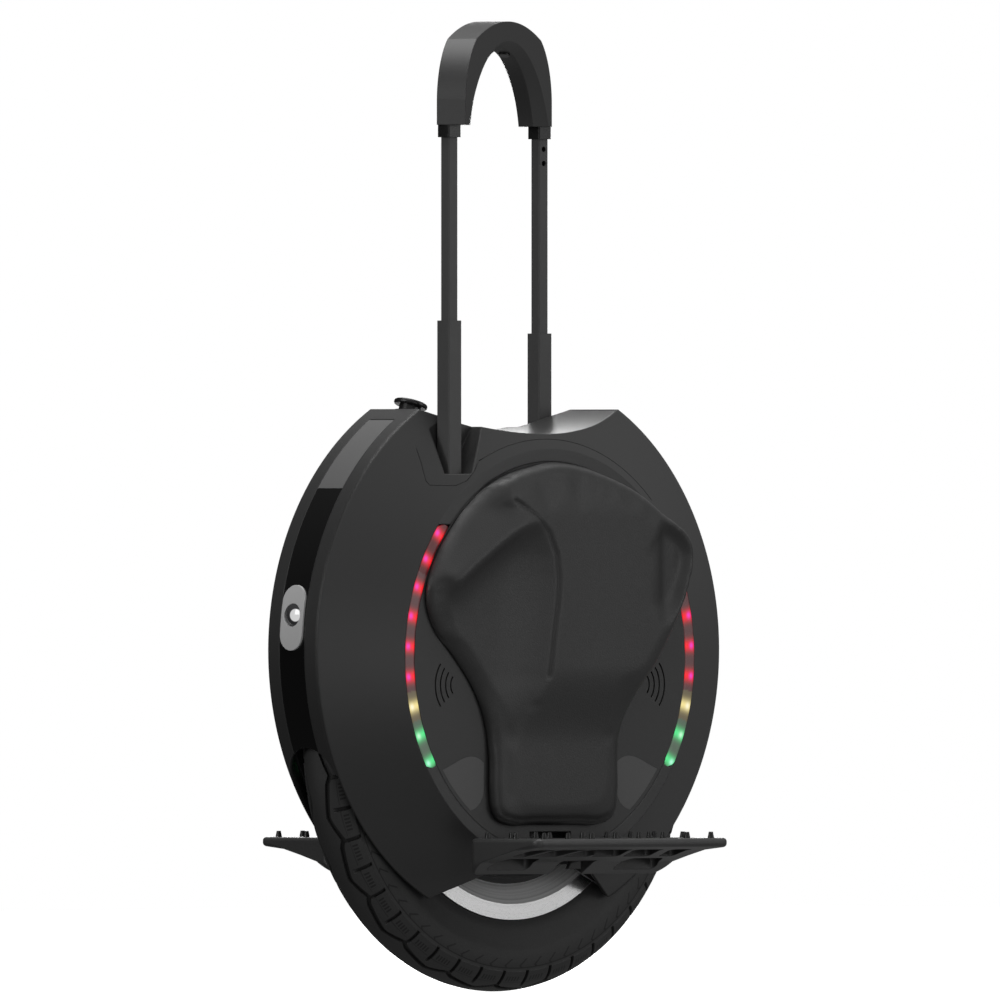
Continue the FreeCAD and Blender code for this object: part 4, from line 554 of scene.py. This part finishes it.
def tread_point(column, arc, n, radius):
    """Where a grid crossing goes on the wheel, in mm: its angle, its distance n and its radius."""
    pitch, slot_index = divmod(column, len(COLUMNS))
    share = COLUMNS[slot_index]
    side = 1 if n >= 0 else -1
    place = pitch + share + (0 if side > 0 else 0.5)
    groove_from = SHORT_CROSS_END if int(place) % 2 else RIB_GROOVE[1]
    s = abs(arc)
    angle = (pitch + share) * 2 * math.pi / PITCHES
    if s > TREAD_ROWS[-1]:
        return angle, n, radius, 0.0
    s_bent = s + np.interp(place % 2, *ZIGZAG) * np.interp(s, *ZIGZAG_REACH)
    deep = 0.0
    if RIB_GROOVE[0] <= s <= RIB_GROOVE[1]:
        deep = RIB_DEPTH
    elif groove_from <= s <= CROSS_END and CROSS_SPAN[0] < place % 1.0 < CROSS_SPAN[1]:
        deep = CROSS_DEPTH
    if s > CROSS_END:
        deep = WALL_INSET * np.interp(s, *WALL_REACH)
    around = s_bent / SECTION
    reach_out = SECTION - deep
    return angle, side * reach_out * math.sin(around), CORE + reach_out * math.cos(around), deep


def grid_place(vert):
    """The column and the row of a point of the flat grid, which spans -1 to 1."""
    return round((vert.co.x + 1) / 2 * around_count), round((vert.co.y + 1) / 2 * len(loop))


bm = bmesh.new()
bmesh.ops.create_grid(bm, x_segments=around_count, y_segments=len(loop), size=1.0)
tread_map = bm.loops.layers.uv.new("tread")
tread_shade = bm.verts.layers.float_color.new("shade")
for face in bm.faces:
    for corner in face.loops:
        column, row = grid_place(corner.vert)
        arc = loop[row % len(loop)][0] if row < len(loop) else -loop[1][0]
        share = COLUMNS[column % len(COLUMNS)] + column // len(COLUMNS)
        corner[tread_map].uv = (share, arc / MAP_UNIT)
for vert in bm.verts:
    column, row = grid_place(vert)
    angle, n, radius, deep = tread_point(column % around_count, *loop[row % len(loop)])
    # Painted shade: points deep in a groove get a darker shade value.
    tone = 1 - TREAD_GROOVE_SHADE * min(deep / CROSS_DEPTH, 1) if deep > WALL_INSET else 1.0
    vert[tread_shade] = grey(tone) + (1,)
    vert.co = AXLE + Vector((radius * math.cos(angle), -n, radius * math.sin(angle))) * MM
bmesh.ops.remove_doubles(bm, verts=bm.verts, dist=0.01 * MM)
bmesh.ops.recalc_face_normals(bm, faces=bm.faces)
tyre = piece_from(bm, "treaded_tyre", "wheel", "tyre_rubber", tread_rubber, "tyre")
tyre.data.set_sharp_from_angle(angle=SHARP_TURN)
print("tyre:", len(tyre.data.polygons), "faces")

# %% [markdown]
# The light strips are milky bars with a row of small lamps behind them: red from the top, then one
# warm yellow and two green at the foot, with dull plastic between them. Round the top two lamps that
# plastic is darker still, painted shade where the strip's upper end lies in shadow. Real lamps behind a
# bar that scatters light would be slow and noisy, so a colour attribute holds the glow instead.

# %% Light colours
LAMP_FIRST = 37.5
LAMP_STEP = 8.57
LAMP_COUNT = 9
HALO_REACH = 1.6
CORE_REACH = 0.85
CORE_ACROSS = 0.4
CORE_WIDTH = 0.4
RED = np.array((0.95, 0.003, 0.012))
YELLOW = np.array((0.9, 0.75, 0.3))
GREEN = np.array((0.08, 0.8, 0.25))
MAGENTA_CORE = np.array((0.85, 0.03, 0.6))
YELLOW_CORE = np.array((1.0, 0.95, 0.7))
GREEN_CORE = np.array((0.6, 1.0, 0.7))
CYAN_CORE = np.array((0.5, 1.0, 0.8))
# Painted shade: the dimmer plastic round the top two lamps, where the strip's end is shadowed.
SHADED_GAP_RED = np.array((0.06, 0.001, 0.003))
DULL_RED = np.array((0.075, 0.030, 0.032))
DULL_BROWN = np.array((0.11, 0.09, 0.05))
DULL_GREEN = np.array((0.07, 0.11, 0.075))
LAMP_COLOURS = [RED] * 6 + [YELLOW, GREEN, GREEN]
LAMP_CORES = [MAGENTA_CORE] * 6 + [YELLOW_CORE, GREEN_CORE, CYAN_CORE]
DULL_COLOURS = [SHADED_GAP_RED] * 2 + [DULL_RED] * 4 + [DULL_BROWN] + [DULL_GREEN] * 2


def glow_at(turn, across):
    """Colour of the strip at an angle in degrees and a place across it, from -1 to 1."""
    lamp = min(max(round((LAMP_FIRST - turn) / LAMP_STEP), 0), LAMP_COUNT - 1)
    off = turn - (LAMP_FIRST - LAMP_STEP * lamp)
    halo = math.exp(-(off / HALO_REACH) ** 2)
    core = math.exp(-(off / CORE_REACH) ** 2 - ((across - CORE_ACROSS) / CORE_WIDTH) ** 2)
    colour = DULL_COLOURS[lamp] * (1 - halo) + LAMP_COLOURS[lamp] * halo
    return colour * (1 - core) + LAMP_CORES[lamp] * core


glow_material = bpy.data.materials.new("light_guide_glow")
glow_material.use_nodes = True
glow_tree = glow_material.node_tree
glow_shader = glow_tree.nodes["Principled BSDF"]
glow = add(glow_tree, "ShaderNodeVertexColor", {"layer_name": "glow"})
frost_place = add(glow_tree, "ShaderNodeTexCoord")
frost = add(glow_tree, "ShaderNodeTexNoise", Vector=(frost_place, "Object"), Scale=900.0)
frost_bump = add(glow_tree, "ShaderNodeBump", Strength=0.1, Distance=0.3 * MM, Height=(frost, 0))
glow_tree.links.new(glow.outputs["Color"], glow_shader.inputs["Emission Color"])
glow_tree.links.new(frost_bump.outputs[0], glow_shader.inputs["Normal"])
glow_shader.inputs["Base Color"].default_value = (0.03, 0.025, 0.025, 1)
glow_shader.inputs["Roughness"].default_value = 0.3
glow_shader.inputs["Emission Strength"].default_value = 1.0
print("light colours:", LAMP_COUNT, "lamps a strip")

# %% [markdown]
# Each strip is a grid bent along the elliptical edge of the side panel, drawn in at both ends to round
# tips and given a wall. The right side's strips are the left side's, turned half round.

# %% Light strips
PANEL_Z = 305.0
STRIP_OUT = (180.9, 189.5)
STRIP_IN = (169.9, 178.5)
STRIP_N = 74.0
STRIP_DEPTH = 3.0
STRIP_ROUND = 4.6
STRIP_STEPS = 160
TIP_WIDTH = 0.06


def light_strip(name, side_x, stands_for):
    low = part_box(stands_for)[0].z / MM
    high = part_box(stands_for)[1].z / MM
    bm = bmesh.new()
    bmesh.ops.create_grid(bm, x_segments=STRIP_STEPS, y_segments=8, size=1.0)
    layer = bm.verts.layers.float_color.new("glow")
    for vert in bm.verts:
        along = (vert.co.x + 1) / 2
        from_end = min(along, 1 - along) * (high - low)
        to_end = 1 - min(from_end / STRIP_ROUND, 1)
        across = vert.co.y * max(math.sqrt(1 - to_end ** 2), TIP_WIDTH)
        half_x = STRIP_IN[0] + (STRIP_OUT[0] - STRIP_IN[0]) * (across + 1) / 2
        half_z = STRIP_IN[1] + (STRIP_OUT[1] - STRIP_IN[1]) * (across + 1) / 2
        z = low + (high - low) * along
        turn = math.asin((z - PANEL_Z) / half_z)
        r, g, b = glow_at(math.degrees(turn), across)
        vert[layer] = (r, g, b, 1)
        vert.co = Vector((side_x * half_x * math.cos(turn), -STRIP_N, z)) * MM
    bmesh.ops.recalc_face_normals(bm, faces=bm.faces)
    front = list(bm.faces)
    if front[0].normal.y > 0:
        bmesh.ops.reverse_faces(bm, faces=front)
    bmesh.ops.solidify(bm, geom=front, thickness=STRIP_DEPTH * MM)
    return piece_from(bm, name, "chassis", "light_guide", glow_material, stands_for)


front_glow = light_strip("left_front_glow", -1, "left_front_light")
rear_glow = light_strip("left_rear_glow", 1, "left_rear_light")
half_turned(front_glow, "right_rear_glow", "right_rear_light")
half_turned(rear_glow, "right_front_glow", "right_front_light")
print("light strips:", len(front_glow.data.polygons), "faces in one")

# %% [markdown]
# Two fine joints show on the shell: an arc just outside the side panel and a line round the foot of the
# trolley's notch. The arc is cast onto the shell from the side, and the notch line from the camera's
# side, with its points measured across the view and upwards. They are cast at a BVH tree of the
# shell's triangles, so they lie on its true surface.

# %% Seam lines
ARC_HALF = (191.5, 199.0)
ARC_FROM = 46
ARC_TO = 116
ARC_STEP = 2
CAST_FROM = -300
NOTCH_SEAM = [(-71.8, 497.7), (-66.7, 482.5), (-62.3, 466), (-58.8, 462), (-35.3, 461.6), (-25, 466),
              (-18, 475.5), (-13.6, 486.6)]
NOTCH_SHARES = (0, 0.25, 0.5, 0.75)
ACROSS = Vector((math.cos(VIEW_TURN), -math.sin(VIEW_TURN), 0))
INWARDS = Vector((0, 1, 0))
shell_mesh = cad["left_shell"].data
shell_points = [v.co for v in shell_mesh.vertices]
shell_tree = BVHTree.FromPolygons(shell_points, [p.vertices for p in shell_mesh.polygons])


def on_shell(starts, along):
    """Points and normals where rays meet the left shell."""
    hits = [shell_tree.ray_cast(start, along) for start in starts]
    return [(hit[0], hit[1]) for hit in hits if hit[0] is not None]


def panel_arc():
    arc = []
    for step in range(ARC_FROM, ARC_TO + 1, ARC_STEP):
        turn = math.radians(step)
        x = ARC_HALF[0] * math.cos(turn)
        z = PANEL_Z + ARC_HALF[1] * math.sin(turn)
        arc.append(Vector((x, CAST_FROM, z)) * MM)
    return on_shell(arc, INWARDS)


def notch_line():
    notch = []
    for (u0, z0), (u1, z1) in zip(NOTCH_SEAM[:-1], NOTCH_SEAM[1:]):
        for share in NOTCH_SHARES:
            spot = ACROSS * (u0 + (u1 - u0) * share) * MM - LOOK
            spot.z = (z0 + (z1 - z0) * share) * MM
            notch.append(spot)
    return on_shell(notch, LOOK)


seam_paths = [panel_arc(), notch_line()]
print("seam lines:", [len(path) for path in seam_paths], "points")

# %% [markdown]
# A joint this fine would need many small faces if it were cut into the shell. A thin dark ribbon laid
# on the surface looks the same, and the shell stays as it is. The ribbon's darkness is painted shade,
# standing for the shadow inside the joint.

# %% Shell seams
SEAM_WIDTH = 0.9 * MM
SEAM_LIFT = 0.08 * MM
# Painted shade: a near-black finish for the shadow in the joint's gap.
seam_shadow_finish = finish("seam_shadow", grey(0.012), 0.7, 0.5, 0.05)
bm = bmesh.new()
for path in seam_paths:
    pairs = []
    for i, (spot, normal) in enumerate(path):
        outward = normal if normal.y < 0 else -normal
        run = path[min(i + 1, len(path) - 1)][0] - path[max(i - 1, 0)][0]
        side = outward.cross(run).normalized() * SEAM_WIDTH / 2
        base = spot + outward * SEAM_LIFT
        pairs.append((bm.verts.new(base - side), bm.verts.new(base + side)))
    for (a, b), (c, d) in zip(pairs[:-1], pairs[1:]):
        bm.faces.new((a, b, d, c))
bmesh.ops.recalc_face_normals(bm, faces=bm.faces)
bmesh.ops.solidify(bm, geom=list(bm.faces), thickness=SEAM_LIFT)
left_seams = piece_from(bm, "left_shell_seams", "chassis", "shell_plastic", seam_shadow_finish)
half_turned(left_seams, "right_shell_seams")
print("seams:", len(left_seams.data.polygons), "faces a side")

# %% [markdown]
# The leg pads are the soft part: leather over shaped foam, with a raised panel for the calf, a crease
# where the panel meets a scooped hollow, a slanting ridge across the front wing and a narrow neck above
# the pedal. The outline is drawn as a smooth curve, raised to a thick blank and remeshed evenly.

# %% Pad blank
REAR_EDGE = [(0, 484), (21.6, 481.5), (70, 469), (105, 453), (125, 439.5), (151, 424), (162, 411), (165, 397),
             (160, 374), (151, 351), (119, 301), (98, 275), (84, 248), (79.5, 220), (78.8, 180), (74, 160),
             (60, 152.5), (25, 151.5)]
FRONT_EDGE = [(-21.6, 481), (-70.5, 468), (-103, 446), (-129, 420), (-150, 388), (-158, 362), (-149, 333),
              (-123.4, 306), (-98, 275), (-84, 245), (-79.5, 215), (-78.8, 180), (-74, 160), (-60, 152.5),
              (-25, 151.5)]
PAD_ROOT = 74.3
PAD_BLANK = 24.0
PAD_DRAW_IN = 0.994
PAD_MIDDLE = Vector((0, 0, 330 * MM))
VOXEL = 4.0 * MM


def applied(holder):
    """The object's mesh with its modifiers applied."""
    bpy.context.view_layer.update()
    return bpy.data.meshes.new_from_object(holder.evaluated_get(bpy.context.evaluated_depsgraph_get()))


def with_modifier(mesh, kind, **settings):
    """A new mesh: the given one with one modifier applied."""
    holder = bpy.data.objects.new(mesh.name, mesh)
    scene.collection.objects.link(holder)
    modifier = holder.modifiers.new("shape", kind)
    for name, value in settings.items():
        setattr(modifier, name, value)
    made = applied(holder)
    bpy.data.objects.remove(holder)
    return made


def pad_outline():
    """The pad's closed edge as a smooth curve through the points of its rear and front."""
    points = REAR_EDGE + FRONT_EDGE[::-1]
    curve = bpy.data.curves.new("pad_edge", "CURVE")
    curve.dimensions = "3D"
    curve.resolution_u = 8
    line = curve.splines.new("BEZIER")
    line.bezier_points.add(len(points) - 1)
    line.use_cyclic_u = True
    for knot, (x, z) in zip(line.bezier_points, points):
        knot.co = Vector((x, -PAD_ROOT, z)) * MM
        knot.handle_left_type = "AUTO"
        knot.handle_right_type = "AUTO"
    holder = bpy.data.objects.new("pad_edge", curve)
    scene.collection.objects.link(holder)
    mesh = applied(holder)
    edge = [v.co.copy() for v in mesh.vertices]
    bpy.data.objects.remove(holder)
    bpy.data.meshes.remove(mesh)
    return edge


pad_edge = [PAD_MIDDLE + (p - PAD_MIDDLE) * PAD_DRAW_IN for p in pad_outline()]
for point in pad_edge:
    point.y = -PAD_ROOT * MM
bm = bmesh.new()
root = bm.faces.new([bm.verts.new(p) for p in pad_edge])
grown = bmesh.ops.extrude_face_region(bm, geom=[root])["geom"]
raised = [g for g in grown if isinstance(g, bmesh.types.BMVert)]
bmesh.ops.translate(bm, vec=(0, -PAD_BLANK * MM, 0), verts=raised)
bmesh.ops.recalc_face_normals(bm, faces=bm.faces)
blank_mesh = bpy.data.meshes.new("pad_blank")
bm.to_mesh(blank_mesh)
bm.free()
pad_mesh = with_modifier(blank_mesh, "REMESH", mode="VOXEL", voxel_size=VOXEL)
print("pad blank:", len(pad_mesh.vertices), "points inside an edge of", len(pad_edge))

# %% [markdown]
# The foam's height over the blank's root is worked out from plain forms: the panel, which falls smoothly
# into the neck and has a recess before its rear rim, the hollow, which falls away from the crease, and
# the wing, whose facet climbs from the edge to a ridge. These helpers give soft steps and distances.

# %% Foam helpers
CREASE = [(-75, 470), (-62, 448), (-36, 433), (-21, 418), (-11.5, 398), (-8.7, 378), (-10, 357), (-14.4, 329),
          (-18.5, 300), (-20, 288), (-45, 250), (-58, 225), (-64, 150)]
RIDGE = [(-46, 431), (-82, 408), (-113, 388), (-133, 374)]
FAR = 1e9
TINY = 1e-9


def smooth_step(value, low, high):
    share = np.clip((value - low) / (high - low), 0, 1)
    return share * share * (3 - 2 * share)


def distance_to(path, x, z):
    """Shortest distance from points to a line of straight pieces."""
    best = np.full(x.shape, FAR)
    for (x0, z0), (x1, z1) in zip(path[:-1], path[1:]):
        run = np.array((x1 - x0, z1 - z0))
        along = np.clip(((x - x0) * run[0] + (z - z0) * run[1]) / max(run @ run, TINY), 0, 1)
        best = np.minimum(best, np.hypot(x - x0 - along * run[0], z - z0 - along * run[1]))
    return best


def edge_distance(x, z):
    edge = [(p.x / MM, p.z / MM) for p in pad_edge]
    return distance_to(edge + edge[:1], x, z)


def crease_lead(x, z):
    """How far a point lies in front of the crease, in mm; behind it the value is negative."""
    return np.interp(z, [p[1] for p in reversed(CREASE)], [p[0] for p in reversed(CREASE)]) - x


def ridge_height_at(x):
    return np.interp(x, [p[0] for p in reversed(RIDGE)], [p[1] for p in reversed(RIDGE)])


def points_of(mesh):
    """The mesh's points as an array with one row each."""
    rows = np.zeros(len(mesh.vertices) * 3)
    mesh.vertices.foreach_get("co", rows)
    return rows.reshape(-1, 3)


print("foam helpers ready")

# %% [markdown]
# Each pair of numbers here is where a soft step starts and ends, in mm along the pad, up it or in from
# its edge. A quarter-round of its own radius ends each edge, and a light smoothing evens the joins.

# %% Foam shape
PANEL_HEIGHT = 20.6
PANEL_REAR_RISE = 2.6
PANEL_REAR_X = (0, 140)
PANEL_TOP_FALL = 3.0
PANEL_TOP_Z = (436, 482)
NECK_HEIGHT = 10.6
NECK_Z = (226, 298)
RECESS_DEPTH = 8.5
RECESS_X = (115, 124)
RECESS_EDGE = (3, 15)
RECESS_FOOT_Z = (330, 362)
RECESS_TOP_Z = (416, 438)
HOLLOW_HEIGHT = 9.4
HOLLOW_REACH = 64
HOLLOW_FALL = 1.8
RIDGE_HEIGHT = 24.4
RIDGE_REACH = 9.0
FACET_FOOT = 6.5
FACET_CURVE = 0.9
WING_EDGE = (0, 12)
CREASE_FADE_Z = (436, 452)
CREASE_FADE_LEAD = (-8, 26)
EDGE_ROUND = 5.0
LOW_FRONT_ROUND = 17.0
LOW_FRONT_X = (-110, -40)
LOW_FRONT_TOP_Z = (340, 378)
LOW_FRONT_FOOT_Z = (215, 260)
ROUND_LIMIT = 0.8
SMOOTH_PASSES = 4


def panel_form(x, z, inside):
    panel = PANEL_HEIGHT + PANEL_REAR_RISE * smooth_step(x, *PANEL_REAR_X)
    panel = panel - PANEL_TOP_FALL * smooth_step(z, *PANEL_TOP_Z)
    recess = smooth_step(x, *RECESS_X) * smooth_step(inside, *RECESS_EDGE)
    recess *= smooth_step(z, *RECESS_FOOT_Z) * (1 - smooth_step(z, *RECESS_TOP_Z))
    return NECK_HEIGHT + (panel - RECESS_DEPTH * recess - NECK_HEIGHT) * smooth_step(z, *NECK_Z)


def wing_form(x, z, inside, lead):
    to_ridge = distance_to(RIDGE, x, z)
    above = z > ridge_height_at(x)
    climb = (inside / (inside + to_ridge + 0.01)) ** FACET_CURVE
    facet = FACET_FOOT + (RIDGE_HEIGHT - FACET_FOOT) * climb
    scoop = HOLLOW_HEIGHT + (RIDGE_HEIGHT - HOLLOW_HEIGHT) * np.exp(-to_ridge / RIDGE_REACH)
    fall = np.clip(1 - lead / HOLLOW_REACH, 0, 1) ** HOLLOW_FALL
    slope = (PANEL_HEIGHT - HOLLOW_HEIGHT) * fall * smooth_step(z, *NECK_Z)
    wing = np.where(above, facet, np.minimum(scoop + slope, RIDGE_HEIGHT))
    return np.where(above, np.maximum(wing, (HOLLOW_HEIGHT + slope) * smooth_step(inside, *WING_EDGE)), wing)


def foam_height(x, z):
    """Height of the foam over the pad's root, in mm."""
    inside = edge_distance(x, z)
    lead = crease_lead(x, z)
    panel = panel_form(x, z, inside)
    wing = wing_form(x, z, inside, lead)
    faded = smooth_step(z, *CREASE_FADE_Z)
    front = (lead > 0) * (1 - faded) + smooth_step(lead, *CREASE_FADE_LEAD) * faded
    body = panel + (wing - panel) * front
    low_front = (1 - smooth_step(x, *LOW_FRONT_X)) * (1 - smooth_step(z, *LOW_FRONT_TOP_Z))
    low_front = low_front * smooth_step(z, *LOW_FRONT_FOOT_Z)
    radius = EDGE_ROUND + (LOW_FRONT_ROUND - EDGE_ROUND) * low_front
    radius = np.minimum(radius, body * ROUND_LIMIT)
    drop = radius * (1 - np.sqrt(1 - (1 - np.clip(inside / radius, 0, 1)) ** 2))
    return body - drop


co = points_of(pad_mesh)
lift = np.clip((-co[:, 1] / MM - PAD_ROOT) / PAD_BLANK, 0, 1)
co[:, 1] = -(PAD_ROOT + lift * foam_height(co[:, 0] / MM, co[:, 2] / MM)) * MM
pad_mesh.vertices.foreach_set("co", co.ravel())
pad_mesh = with_modifier(pad_mesh, "SMOOTH", factor=0.5, iterations=SMOOTH_PASSES)
print("foam:", round(float(-co[:, 1].min() / MM), 1), "mm from the middle plane at its highest")

# %% [markdown]
# The leather is pressed outwards by the foam. A short cloth simulation with a little pressure gives that
# swell: the root stays pinned, and no point may move further than a cap, so the moulded form is kept.

# %% Leather swell
SWELL_CAP = 1.6 * MM
SWELL_FRAMES = 20
SWELL_PRESSURE = 4
LEATHER_STIFFNESS = 30
LEATHER_BENDING = 8
PIN_LIFT = 0.35


def swollen(mesh, lift):
    """Swell the mesh by a short cloth simulation; returns the largest movement before the cap, in mm."""
    holder = bpy.data.objects.new("pad_cloth", mesh)
    scene.collection.objects.link(holder)
    pins = holder.vertex_groups.new(name="pins")
    pins.add([int(i) for i in np.nonzero(lift < PIN_LIFT)[0]], 1.0, "REPLACE")
    cloth = holder.modifiers.new("swell", "CLOTH")
    cloth.settings.quality = 5
    cloth.settings.tension_stiffness = LEATHER_STIFFNESS
    cloth.settings.compression_stiffness = LEATHER_STIFFNESS
    cloth.settings.bending_stiffness = LEATHER_BENDING
    cloth.settings.use_pressure = True
    cloth.settings.uniform_pressure_force = SWELL_PRESSURE
    cloth.settings.effector_weights.gravity = 0
    cloth.settings.vertex_group_mass = "pins"
    cloth.point_cache.frame_start = 1
    cloth.point_cache.frame_end = SWELL_FRAMES
    for step in range(1, SWELL_FRAMES + 1):
        scene.frame_set(step)
    result = applied(holder)
    scene.frame_set(1)
    bpy.data.objects.remove(holder)
    before = points_of(mesh)
    move = points_of(result) - before
    length = np.linalg.norm(move, axis=1, keepdims=True)
    move *= np.minimum(1, SWELL_CAP / np.maximum(length, TINY))
    mesh.vertices.foreach_set("co", (before + move).ravel())
    mesh.update()
    bpy.data.meshes.remove(result)
    return float(length.max() / MM)


print("swell: largest free movement", round(swollen(pad_mesh, lift), 1), "mm")

# %% [markdown]
# The pad is then subdivided once, and its crease and the piping round its foot are pressed in along
# fine lines, because the remesh would have removed them. A shade attribute paints shade into the
# lines and onto the walls, where less light reaches.

# %% Crease and piping
CREASE_SEEN = [p for p in CREASE if 286 < p[1] < 460]
GROOVE_WIDTH = 1.7
GROOVE_DEPTH = 1.8
GROOVE_SHADE = 0.85
PIPING_INSET = 6.0
PIPING_Z = (220, 250)
PIPING_SHARE = 0.6
FRONT_HEIGHT = (4, 8)
WALL_EDGE = (0.5, 3.0)
WALL_HEIGHT = (12, 18)
WALL_SHADE = 0.5
fine_mesh = with_modifier(pad_mesh, "SUBSURF", levels=1, render_levels=1)
fine_mesh.name = "left_leather_pad"
co = points_of(fine_mesh)
x, z = co[:, 0] / MM, co[:, 2] / MM
height = -co[:, 1] / MM - PAD_ROOT
inside = edge_distance(x, z)
piping = np.exp(-((inside - PIPING_INSET) / GROOVE_WIDTH) ** 2)
piping = piping * (1 - smooth_step(z, *PIPING_Z)) * PIPING_SHARE
groove = np.exp(-(distance_to(CREASE_SEEN, x, z) / GROOVE_WIDTH) ** 2)
groove = np.maximum(groove, piping) * smooth_step(height, *FRONT_HEIGHT)
co[:, 1] += groove * GROOVE_DEPTH * MM
fine_mesh.vertices.foreach_set("co", co.ravel())
# Painted shade: the walls and the pressed lines get a darker shade value.
wall = (1 - smooth_step(inside, *WALL_EDGE)) * (1 - smooth_step(height, *WALL_HEIGHT))
tone = 1 - GROOVE_SHADE * groove - WALL_SHADE * np.clip(wall, 0, 1)
shade = fine_mesh.color_attributes.new("shade", "FLOAT_COLOR", "POINT")
shade.data.foreach_set("color", np.stack([tone, tone, tone, np.ones_like(tone)], axis=1).ravel())
for polygon in fine_mesh.polygons:
    polygon.use_smooth = True
print("pad:", len(fine_mesh.polygons), "faces, crease", GROOVE_DEPTH, "mm deep")

# %% [markdown]
# The leather has a finer, stronger grain than the plastics and is darkened by the painted shade of
# the shade attribute. The other side's pad is the same moulding turned half round, as on the real pair.

# %% Leather pads
leather = finish("pad_grained_leather", grey(0.026), 0.48, 1.3, 0.4, 0.08, edge=0)
# Painted shade from the pad's shade attribute.
tint(leather, (add(leather.node_tree, "ShaderNodeVertexColor", {"layer_name": "shade"}), "Color"))
fine_mesh.materials.clear()
fine_mesh.materials.append(leather)
left_pad = place_piece(fine_mesh, "left_leather_pad", "chassis", "pad_leather", "left_pad")
right_pad = half_turned(left_pad, "right_leather_pad", "right_pad")
